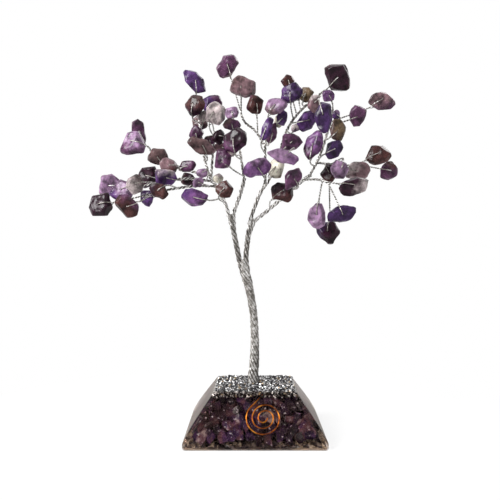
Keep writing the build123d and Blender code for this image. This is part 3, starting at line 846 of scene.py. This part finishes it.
# Sprays: from each bough thinner bundles go out, and from those one twisted pair of wire for
# each stone. At the stone the pair opens into a loop that goes through the drilled hole.
stem_shares = {
    "left_high": ("left_outer_bough", 0.96, (
        (-0.193, 0.05, 0.688), (-0.242, 0.06, 0.690), (-0.294, 0.08, 0.7135), (-0.343, 0.10, 0.745))),
    "left_mid": ("left_outer_bough", 0.82, (
        (-0.196, 0.01, 0.671), (-0.248, 0.0, 0.671), (-0.310, -0.01, 0.660), (-0.370, -0.02, 0.650))),
    "left_down": ("left_outer_bough", 0.70, (
        (-0.193, -0.02, 0.6525), (-0.245, -0.04, 0.6445), (-0.301, -0.06, 0.639), (-0.360, -0.09, 0.624))),
    "left_top": ("left_outer_bough", 0.98, (
        (-0.163, 0.05, 0.711), (-0.170, 0.07, 0.745), (-0.176, 0.09, 0.785), (-0.183, 0.10, 0.830))),
    "left_peak": ("left_outer_bough", 0.90, (
        (-0.142, 0.04, 0.711), (-0.134, 0.07, 0.750), (-0.133, 0.08, 0.795))),
    "inner": ("left_inner_bough", 0.97, (
        (-0.0425, 0.0, 0.711), (-0.047, 0.03, 0.735), (-0.055, 0.08, 0.764), (-0.060, 0.10, 0.793))),
    "crown": ("right_inner_bough", 0.80, (
        (0.034, 0.02, 0.652), (0.036, 0.05, 0.684), (0.033, 0.07, 0.737), (0.033, 0.07, 0.7666),
        (0.0425, 0.07, 0.785), (0.052, 0.08, 0.814))),
    "crown_left": ("crown", 0.70, (
        (0.010, 0.10, 0.793), (-0.020, 0.13, 0.810), (-0.041, 0.15, 0.822), (-0.047, 0.16, 0.850))),
    "crown_right": ("right_inner_bough", 0.97, (
        (0.049, -0.02, 0.662), (0.0686, 0.0, 0.7135), (0.085, 0.02, 0.745), (0.095, 0.04, 0.788),
        (0.137, 0.08, 0.846), (0.196, 0.12, 0.883), (0.229, 0.14, 0.9045))),
    "right_top": ("right_outer_bough", 0.98, (
        (0.206, 0.02, 0.716), (0.219, 0.02, 0.745), (0.229, 0.02, 0.769), (0.2386, 0.03, 0.798),
        (0.2516, 0.03, 0.830), (0.255, 0.02, 0.860))),
    "right_far": ("right_top", 0.20, (
        (0.242, 0.06, 0.7095), (0.294, 0.10, 0.703), (0.350, 0.13, 0.7056))),
    "right_low": ("right_outer_bough", 0.88, (
        (0.206, -0.05, 0.669), (0.222, -0.07, 0.668), (0.245, -0.09, 0.654))),
}
near_carriers = {"left_near": "left_outer_bough", "right_near": "right_outer_bough"}
spray_bodies = {
    "left_crown": ("inner",),
    "right_crown": ("crown", "crown_left", "crown_right"),
    "left_outer": ("left_near", "left_high", "left_mid", "left_down", "left_top", "left_peak"),
    "right_outer": ("right_near", "right_top", "right_far", "right_low"),
}
# Each stone: place across, deep and up, length and width against the usual 10 mm, roll, outline,
# how far along its stem the twig leaves, its main tint and the tint of its paler or darker end
stone_shares = {
    "left_near": (
        (-0.197, -0.13, 0.622, 1.14, 0.74, -6, "blade", 0.42, "orchid", "violet"),
        (-0.098, -0.09, 0.641, 0.82, 0.68, -35, "wedge", 0.30, "bark", "olive"),
        (-0.121, -0.05, 0.670, 0.42, 0.34, 30, "nugget", 0.72, "ice", "fog")),
    "left_high": (
        (-0.219, -0.02, 0.702, 0.68, 0.44, 5, "block", 0.30, "plum", "bark"),
        (-0.281, 0.00, 0.703, 0.80, 0.60, -30, "block", 0.45, "rose", "bark"),
        (-0.317, 0.02, 0.728, 0.86, 0.70, 0, "nugget", 0.70, "smoke", "bark"),
        (-0.399, 0.05, 0.764, 1.14, 1.06, 4, "square", 0.97, "lilac", "plum"),
        (-0.381, 0.18, 0.795, 1.20, 0.56, 100, "block", 0.88, "plum", "fog")),
    "left_mid": (
        (-0.219, 0.11, 0.668, 0.68, 0.56, 0, "nugget", 0.18, "night", "bark"),
        (-0.172, -0.07, 0.684, 0.40, 0.32, 20, "block", 0.10, "lilac", "fog"),
        (-0.291, -0.09, 0.674, 1.06, 0.76, 15, "wedge", 0.45, "violet", "fog"),
        (-0.351, 0.06, 0.675, 1.10, 0.86, 65, "nugget", 0.62, "night", "violet"),
        (-0.392, -0.11, 0.655, 0.84, 0.68, 75, "nugget", 0.82, "fog", "smoke"),
        (-0.474, 0.05, 0.653, 1.00, 0.90, 10, "square", 0.98, "lilac", "rose"),
        (-0.432, -0.03, 0.637, 1.06, 0.90, -20, "square", 0.92, "lilac", "violet")),
    "left_down": (
        (-0.186, -0.10, 0.660, 0.42, 0.34, 20, "block", 0.12, "lilac", "orchid"),
        (-0.314, -0.15, 0.637, 0.90, 0.52, -28, "blade", 0.55, "bark", "night"),
        (-0.352, -0.01, 0.617, 0.80, 0.62, -85, "drop", 0.72, "violet", "orchid"),
        (-0.417, -0.16, 0.598, 1.04, 0.74, -45, "block", 0.93, "bark", "plum"),
        (-0.504, -0.06, 0.598, 1.14, 0.98, -60, "nugget", 0.98, "night", "bark")),
    "left_top": (
        (-0.173, -0.01, 0.756, 1.34, 0.62, -20, "blade", 0.25, "smoke", "rose"),
        (-0.190, 0.02, 0.790, 0.66, 0.52, 70, "block", 0.45, "plum", "night"),
        (-0.180, 0.17, 0.820, 0.80, 0.64, -20, "nugget", 0.70, "smoke", "night"),
        (-0.167, 0.06, 0.833, 0.50, 0.42, 20, "block", 0.82, "fog", "olive"),
        (-0.196, 0.03, 0.865, 0.98, 0.86, 60, "nugget", 0.93, "bark", "night"),
        (-0.196, 0.11, 0.927, 1.48, 0.68, -49, "blade", 0.99, "violet", "lilac")),
    "left_peak": (
        (-0.147, 0.04, 0.772, 0.44, 0.36, 10, "block", 0.60, "plum", "smoke"),
        (-0.130, 0.00, 0.841, 1.12, 0.90, 98, "nugget", 0.90, "fog", "violet"),
        (-0.139, 0.13, 0.867, 0.94, 0.74, 15, "block", 0.98, "violet", "plum")),
    "inner": (
        (-0.105, -0.04, 0.715, 1.02, 0.66, 80, "block", 0.05, "night", "plum"),
        (-0.080, 0.04, 0.737, 0.42, 0.28, 10, "block", 0.45, "rose", "fog"),
        (-0.108, 0.07, 0.753, 0.56, 0.36, -10, "block", 0.60, "rose", "bark"),
        (-0.065, -0.05, 0.771, 1.20, 0.94, 35, "nugget", 0.35, "night", "plum"),
        (-0.119, 0.03, 0.782, 0.74, 0.52, 80, "wedge", 0.80, "night", "bark"),
        (-0.074, 0.04, 0.814, 0.78, 0.52, -8, "wedge", 0.91, "plum", "smoke"),
        (-0.074, 0.10, 0.844, 0.62, 0.52, 20, "block", 0.98, "lilac", "plum")),
    "crown": (
        (0.056, 0.02, 0.790, 0.98, 0.36, 71, "blade", 0.80, "plum", "night"),
        (0.039, -0.02, 0.804, 1.28, 0.38, 71, "blade", 0.62, "violet", "night"),
        (0.074, 0.06, 0.821, 0.60, 0.32, 85, "drop", 0.89, "ice", "olive"),
        (0.088, 0.03, 0.830, 0.72, 0.42, 85, "blade", 0.94, "violet", "lilac"),
        (0.069, 0.01, 0.862, 1.06, 0.74, 12, "nugget", 0.98, "lilac", "rose")),
    "crown_left": (
        (0.002, 0.08, 0.867, 0.82, 0.66, 80, "block", 0.35, "bark", "plum"),
        (-0.042, 0.12, 0.914, 1.45, 0.84, -22, "nugget", 0.90, "rose", "smoke"),
        (-0.090, 0.18, 0.968, 1.30, 0.76, 64, "block", 0.98, "plum", "fog")),
    "crown_right": (
        (0.007, -0.11, 0.700, 1.30, 0.72, 12, "nugget", 0.06, "orchid", "lilac"),
        (0.072, -0.06, 0.699, 0.86, 0.60, 75, "block", 0.12, "ice", "olive"),
        (0.095, -0.19, 0.729, 1.60, 0.48, -14, "blade", 0.25, "lilac", "orchid"),
        (0.121, -0.08, 0.769, 0.94, 0.72, 12, "wedge", 0.36, "plum", "violet"),
        (0.134, 0.12, 0.804, 0.40, 0.30, 20, "block", 0.52, "fog", "lilac"),
        (0.172, 0.04, 0.825, 1.14, 0.72, 48, "blade", 0.58, "violet", "orchid"),
        (0.119, 0.01, 0.897, 1.00, 0.80, 25, "nugget", 0.63, "indigo", "violet"),
        (0.108, 0.11, 0.928, 0.58, 0.44, 60, "block", 0.68, "bark", "plum"),
        (0.144, 0.10, 0.890, 0.40, 0.32, 40, "block", 0.73, "night", "bark"),
        (0.168, 0.06, 0.893, 0.70, 0.54, 70, "block", 0.78, "olive", "bark"),
        (0.191, 0.00, 0.870, 0.88, 0.48, 75, "wedge", 0.84, "rose", "fog"),
        (0.272, 0.17, 0.937, 1.46, 1.00, -68, "block", 0.99, "night", "bark")),
    "right_near": (
        (0.092, -0.06, 0.634, 0.98, 0.78, -12, "block", 0.28, "night", "bark"),
        (0.124, -0.12, 0.670, 1.04, 0.64, 47, "blade", 0.68, "plum", "rose")),
    "right_top": (
        (0.193, -0.07, 0.761, 1.36, 0.72, 62, "blade", 0.15, "orchid", "plum"),
        (0.258, -0.06, 0.746, 1.00, 0.64, 55, "blade", 0.24, "indigo", "violet"),
        (0.270, -0.04, 0.798, 0.92, 0.60, 72, "block", 0.56, "olive", "smoke"),
        (0.224, -0.13, 0.834, 1.50, 0.70, 88, "blade", 0.64, "indigo", "violet"),
        (0.266, -0.02, 0.838, 0.48, 0.28, 85, "blade", 0.86, "violet", "lilac"),
        (0.335, 0.02, 0.832, 1.04, 0.72, -98, "drop", 0.74, "plum", "smoke"),
        (0.415, 0.13, 0.875, 1.32, 0.86, -6, "blade", 0.80, "rose", "plum"),
        (0.240, -0.03, 0.890, 0.52, 0.42, 15, "block", 0.98, "orchid", "rose")),
    "right_far": (
        (0.245, 0.01, 0.683, 0.82, 0.66, 60, "block", 0.18, "night", "bark"),
        (0.276, -0.05, 0.695, 0.86, 0.72, 60, "nugget", 0.35, "lilac", "orchid"),
        (0.337, 0.04, 0.690, 1.04, 0.74, 5, "block", 0.65, "rose", "fog"),
        (0.404, 0.10, 0.732, 1.22, 0.92, 5, "nugget", 0.92, "bark", "smoke"),
        (0.438, 0.19, 0.692, 0.96, 0.80, 30, "nugget", 0.98, "plum", "bark")),
    "right_low": (
        (0.204, -0.09, 0.574, 1.16, 0.76, 82, "drop", 0.75, "lilac", "orchid"),
        (0.322, -0.07, 0.650, 1.50, 0.74, 20, "blade", 0.88, "night", "fog"),
        (0.284, -0.11, 0.577, 1.40, 0.66, 14, "blade", 0.94, "indigo", "plum"),
        (0.239, 0.00, 0.527, 1.10, 1.00, -80, "drop", 0.98, "night", "indigo")),
}
outline_shares = {
    "nugget": ((-0.50, -0.10), (-0.26, -0.46), (0.22, -0.50), (0.50, -0.12), (0.34, 0.42), (-0.24, 0.50)),
    "block": ((-0.46, -0.42), (0.30, -0.50), (0.50, -0.04), (0.40, 0.46), (-0.32, 0.50), (-0.50, 0.14)),
    "blade": ((-0.50, -0.16), (-0.12, -0.50), (0.34, -0.40), (0.50, 0.06), (0.10, 0.50), (-0.36, 0.36)),
    "wedge": ((-0.50, -0.36), (0.10, -0.50), (0.50, -0.10), (0.30, 0.30), (-0.30, 0.50)),
    "drop": ((-0.50, -0.14), (-0.28, -0.50), (0.14, -0.38), (0.50, 0.02), (0.08, 0.46), (-0.36, 0.42)),
    "square": ((-0.50, -0.34), (-0.26, -0.50), (0.42, -0.48), (0.50, -0.10), (0.40, 0.46), (-0.30, 0.50)),
}
stone_length = 10.0 * mm
stone_thickness_share = 0.58
stone_bevel = math.radians(30)
golden_angle = math.radians(137.508)
nod_tilt = math.radians(14)
turn_tilt = math.radians(16)
wire_width = 0.4 * mm
leg_gap = 0.12 * mm
edge_gap = 0.5 * mm
leg_root = 0.5 * mm
twig_lead = 1.8 * mm
bend_ease = 0.28 * mm
bend_share = 0.45
stem_lay = (0.3 * mm, 0.12 * mm)
loop_sides = 8
# Even level of painted light on the loops through the stones.
loop_painted_light = 0.66


def stone_axes(row, index):
    """Unit axes of a stone: along its length, across it, and out of its face."""
    nod = nod_tilt * math.sin(golden_angle * index)
    turn = turn_tilt * math.sin(golden_angle * (index + 0.5))
    facing_front = Matrix(((1, 0, 0), (0, 0, -1), (0, 1, 0)))
    turned = facing_front @ Matrix.Rotation(nod, 3, "X") @ Matrix.Rotation(turn, 3, "Y")
    turned = turned @ Matrix.Rotation(math.radians(row[5]), 3, "Z")
    return turned.col[0].copy(), turned.col[1].copy(), turned.col[2].copy()


def eased(points):
    """Run of points with its corners eased, as wire bends."""
    run = [points[0]]
    for before, corner, after in zip(points, points[1:], points[2:]):
        back = before - corner
        on = after - corner
        ease = min(bend_ease, back.length * bend_share, on.length * bend_share)
        first = corner + back.normalized() * ease
        last = corner + on.normalized() * ease
        run += [first, (first + corner * 2 + last) / 4, last]
    return run + [points[-1]]


def twig_and_loop(start, row, index):
    """Route of a twig from its stem to a stone, and the loop of its wire through the stone."""
    centre = place(*row[:3])
    long_way, cross_way, out_way = stone_axes(row, index)
    length = row[3] * stone_length
    width = row[4] * stone_length
    half = width * stone_thickness_share / 2
    inward = centre - start
    inward = (inward - out_way * inward.dot(out_way)).normalized()
    corners = [long_way * (x * length) + cross_way * (y * width) for x, y in outline_shares[row[6]]]
    reach = max(-corner.dot(inward) for corner in corners)
    rim = centre - inward * (reach - half * math.tan(stone_bevel))
    lift = out_way * (half + wire_width / 2 + leg_gap)
    side = out_way * (wire_width / 2)
    tip = centre - inward * (reach + edge_gap)
    root = tip - inward * leg_root
    loop = [root + side, rim + lift, centre + lift, centre - lift, rim - lift, root - side]
    return [start, tip - inward * twig_lead, tip], eased(loop)


stone_number = 0
stone_facts = {}
spray_body = {spray: body for body, sprays in spray_bodies.items() for spray in sprays}
for spray, rows in stone_shares.items():
    meshes = []
    hidden = [f"{spray}_twigs"]
    if spray in stem_shares:
        carrier, leaving, shares = stem_shares[spray]
        lines[spray] = [point_along(lines[carrier], leaving)] + [place(*share) for share in shares]
        lay = [stem_lay[0]] * (len(lines[spray]) - 1) + [stem_lay[1]]
        stem = laid_mesh(spray, [(lines[spray], lay)], bundles=3, strands=2,
                         lay_turns=-130, bundle_turns=-240)
        meshes.append(with_lighter_painted_shade(stem, least=0.30, relief=0.75))
        hidden.append(f"{spray}_stem")
    carrier = near_carriers.get(spray, spray)
    twigs = []
    loops = []
    facts = []
    for row in rows:
        stone_number += 1
        twig, loop = twig_and_loop(point_along(lines[carrier], row[7]), row, stone_number)
        facts.append((place(*row[:3]), stone_axes(row, stone_number), row, stone_number))
        twigs.append((twig, [0.0] * len(twig)))
        loops.append(loop)
    stone_facts[spray] = facts
    pairs = laid_mesh(spray + "_twigs", twigs, bundles=1, strands=2, lay_turns=0, bundle_turns=-380)
    meshes.append(with_lighter_painted_shade(pairs, least=0.46, relief=0.5))
    meshes.append(wire_mesh(spray + "_loops", loops, strand_radius, loop_sides))
    # The loops get one even level of painted light, with no painted groove shade.
    bright = meshes[-1].attributes.new("crest", "FLOAT", "POINT")
    bright.data.foreach_set("value", [loop_painted_light] * len(meshes[-1].vertices))
    wires = joined_piece(f"{spray}_wires", meshes)
    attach(wires, spray_body[spray])
    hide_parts(*hidden)

# Stones: tumbled amethyst, broken into chips, rolled smooth and drilled through. Each is banded
# from clear or grey quartz to purple, and some are brown or nearly black.
stone_grain = 0.27 * mm
roll_factor = 0.5
roll_rounds = 3
break_count = 9
break_depth = (0.80, 0.96)
break_lean = 0.9
rind_slope = 1.9
rind_start = 1.75
stone_swell = 0.24
stone_spread = 0.4 * mm
lump_scale = 250
lump_height = 0.65
lump_lead = 7.1
dent_scale = 560
dent_height = 0.12
dent_lead = 3.7
border_wander = 1.6
chipping_height = 0.3 * mm
stone_tints = {
    "violet": (0.056, 0.022, 0.088), "orchid": (0.108, 0.045, 0.126), "lilac": (0.195, 0.116, 0.195),
    "indigo": (0.028, 0.011, 0.047), "plum": (0.064, 0.023, 0.055), "night": (0.016, 0.004, 0.010),
    "bark": (0.046, 0.016, 0.015), "rose": (0.140, 0.082, 0.092), "smoke": (0.090, 0.052, 0.053),
    "olive": (0.088, 0.058, 0.034), "fog": (0.300, 0.250, 0.250), "ice": (0.460, 0.430, 0.360),
}


def islands_of(bm):
    """Lists of the vertices that hang together."""
    left = set(bm.verts)
    islands = []
    for vert in bm.verts:
        if vert not in left:
            continue
        left.discard(vert)
        island = []
        waiting = [vert]
        while waiting:
            here = waiting.pop()
            island.append(here)
            for edge in here.link_edges:
                there = edge.other_vert(here)
                if there in left:
                    left.discard(there)
                    waiting.append(there)
        islands.append(island)
    return islands


def rolled_stones(name, node_name):
    """Piece with a fine mesh of a spray's stones: the CAD stones with their edges worn round."""
    bm = bmesh.new()
    bm.from_mesh(frame["nodes"][node_name].data)
    bmesh.ops.remove_doubles(bm, verts=bm.verts, dist=1e-6)
    piece = shown(name, mesh_from(bm, name))
    remesh = piece.modifiers.new("worn", "REMESH")
    remesh.mode = "VOXEL"
    remesh.voxel_size = stone_grain
    smooth = piece.modifiers.new("rolled", "SMOOTH")
    smooth.factor = roll_factor
    smooth.iterations = roll_rounds
    depsgraph = bpy.context.evaluated_depsgraph_get()
    mesh = bpy.data.meshes.new_from_object(piece.evaluated_get(depsgraph), depsgraph=depsgraph)
    piece.modifiers.clear()
    piece.data = mesh
    return piece


def broken_stone(island, centre, axes, row, number, layers):
    """Tint one stone's vertices, and give the stone its lumps, its dents and its flat breaks."""
    long_way, cross_way, out_way = axes
    main_layer, end_layer, zone_layer = layers
    length = row[3] * stone_length
    width = row[4] * stone_length
    draw = random.Random(number)
    breaks = []
    for _ in range(break_count):
        turn = draw.uniform(0, math.tau)
        flat = long_way * math.cos(turn) + cross_way * math.sin(turn)
        flat = (flat + out_way * draw.uniform(-break_lean, break_lean)).normalized()
        breaks.append((flat, draw.uniform(*break_depth)))
    turn = golden_angle * number
    way = long_way * math.cos(turn) + cross_way * math.sin(turn)
    lump_start = Vector((number, 0, 0)) * lump_lead
    dent_start = Vector((0, number, 0)) * dent_lead
    moves = []
    for vert in island:
        local = vert.co - centre
        vert[main_layer] = (*stone_tints[row[8]], 1)
        vert[end_layer] = (*stone_tints[row[9]], 1)
        rim = Vector((local.dot(long_way) / length, local.dot(cross_way) / width)).length * 2
        banded_zone = local.dot(way) / (length / 2)
        vert[zone_layer] = banded_zone if number % 2 else rim * rind_slope - rind_start
        lump = noise.noise(local * lump_scale + lump_start) * lump_height
        dent = noise.noise(local * dent_scale + dent_start) * dent_height
        aside = vert.normal - out_way * vert.normal.dot(out_way)
        swell = (lump + dent) * min(1.0, row[3]) + stone_swell
        moves.append(vert.normal * swell * mm + aside * stone_spread)
    for vert, move in zip(island, moves):
        vert.co += move
    for flat, depth in breaks:
        level = depth * max((vert.co - centre).dot(flat) for vert in island)
        for vert in island:
            over = (vert.co - centre).dot(flat) - level
            if over > 0:
                vert.co -= flat * over


amethyst, tree, spot, shader = finish_material("rolled_amethyst")
cloud = grain(tree, spot, scale=260.0, detail=4.0, Distortion=0.6)
edge = maths(tree, "MULTIPLY_ADD", cloud, border_wander, kept_value(tree, "zone"))
border = ranged(tree, edge, (0.75, 1.55), interpolation_type="SMOOTHSTEP")
banded = mixed(tree, border, kept_value(tree, "main_tint", "Color"), kept_value(tree, "end_tint", "Color"))
flaw = grain(tree, spot, scale=300.0, detail=4.0, Roughness=0.58)
shade = ranged(tree, flaw, (0.36, 0.66), (0.32, 1.62))
chipping = grain(tree, spot, scale=1400.0, detail=3.0)
bump = node(tree, "ShaderNodeBump", {"Height": chipping, "Strength": 0.06, "Distance": chipping_height})
fill(tree, shader, {
    "Base Color": vectors(tree, "SCALE", banded, Scale=shade), "Normal": bump.outputs["Normal"],
    "Roughness": ranged(tree, flaw, (0.0, 1.0), (0.10, 0.40)), "IOR": 1.54, "Specular IOR Level": 0.14,
    "Subsurface Weight": 0.2, "Subsurface Radius": (1.0, 0.7, 1.0), "Subsurface Scale": 1.5 * mm})

for spray, facts in stone_facts.items():
    stones = rolled_stones(f"{spray}_stones", f"{spray}_chips")
    bm = bmesh.new()
    bm.from_mesh(stones.data)
    layers = (bm.verts.layers.float_color.new("main_tint"), bm.verts.layers.float_color.new("end_tint"),
              bm.verts.layers.float.new("zone"))
    bm.normal_update()
    for island in islands_of(bm):
        middle = sum((vert.co for vert in island), Vector()) / len(island)
        fact = min(facts, key=lambda each: (each[0] - middle).length)
        broken_stone(island, *fact, layers)
    for face in bm.faces:
        face.smooth = True
    bm.to_mesh(stones.data)
    bm.free()
    stones.data.materials.clear()
    stones.data.materials.append(amethyst)
    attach(stones, spray_body[spray])
    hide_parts(f"{spray}_chips")

# Stage: a plain pale floor, soft light from above and both sides, and a camera in front at
# the height of the upper trunk. Each lamp has a name, a place, its watts and its width.
floor_half = 3.0
floor_near = (0.05, 0.16)
floor_glow = (0.80, 1.0)
floor_grey = (0.85, 0.85, 0.85, 1)
sky_light = 0.29
white = (1, 1, 1, 1)
lamps = (("key_light", (-0.6, -0.42, 0.6), 14.0, 0.4),
         ("fill_light", (0.6, -0.4, 0.45), 1.2, 0.6),
         ("back_light", (0.5, 0.5, 0.6), 4.0, 0.5))
lit_spot = Vector((0, 0, 0.08))
camera_spot = (-0.0022, -0.31, 0.0839)
camera_lens = 49.5
camera_shift = -0.01


def seen_share(tree):
    """1 for a ray that sees the background, straight or in metal or glass, and 0 for one that lights."""
    rays = node(tree, "ShaderNodeLightPath", {}).outputs
    seen = maths(tree, "MAXIMUM", rays["Is Camera Ray"], rays["Is Glossy Ray"])
    return maths(tree, "MAXIMUM", seen, rays["Is Transmission Ray"])


corners = [(-floor_half, -floor_half, 0), (floor_half, -floor_half, 0),
           (floor_half, floor_half, 0), (-floor_half, floor_half, 0)]
floor_mesh = bpy.data.meshes.new("floor")
floor_mesh.from_pydata(corners, [], [(0, 1, 2, 3)])
floor = shown("floor", floor_mesh)
paper = bpy.data.materials.new("white_paper")
paper.use_nodes = True
tree = paper.node_tree
tree.nodes.clear()
spot = node(tree, "ShaderNodeTexCoord", {}).outputs["Object"]
far = ranged(tree, vectors(tree, "LENGTH", spot, output="Value"), floor_near, floor_glow)
glow = maths(tree, "MULTIPLY", seen_share(tree), far)
matte = node(tree, "ShaderNodeBsdfDiffuse", {"Color": floor_grey})
bright = node(tree, "ShaderNodeEmission", {"Color": white, "Strength": 1.0})
both = node(tree, "ShaderNodeMixShader", {0: glow, 1: matte.outputs[0], 2: bright.outputs[0]})
node(tree, "ShaderNodeOutputMaterial", {"Surface": both.outputs[0]})
floor_mesh.materials.append(paper)

world = bpy.data.worlds.new("studio")
world.use_nodes = True
tree = world.node_tree
tree.nodes.clear()
level = ranged(tree, seen_share(tree), (0.0, 1.0), (sky_light, 1.0))
sky = node(tree, "ShaderNodeBackground", {"Color": white, "Strength": level})
node(tree, "ShaderNodeOutputWorld", {"Surface": sky.outputs[0]})
bpy.context.scene.world = world

for name, lamp_spot, power, width in lamps:
    lamp = bpy.data.lights.new(name, "AREA")
    lamp.energy = power
    lamp.size = width
    light = shown(name, lamp)
    light.location = lamp_spot
    light.rotation_euler = (lit_spot - Vector(lamp_spot)).to_track_quat("-Z", "Y").to_euler()

lens = bpy.data.cameras.new("camera")
lens.sensor_width = 36.0
lens.lens = camera_lens
lens.shift_y = camera_shift
lens.clip_start = 0.01
camera = shown("camera", lens)
camera.location = camera_spot
camera.rotation_euler = (math.pi / 2, 0, 0)
bpy.context.scene.camera = camera
bpy.context.scene.view_settings.view_transform = "Standard"
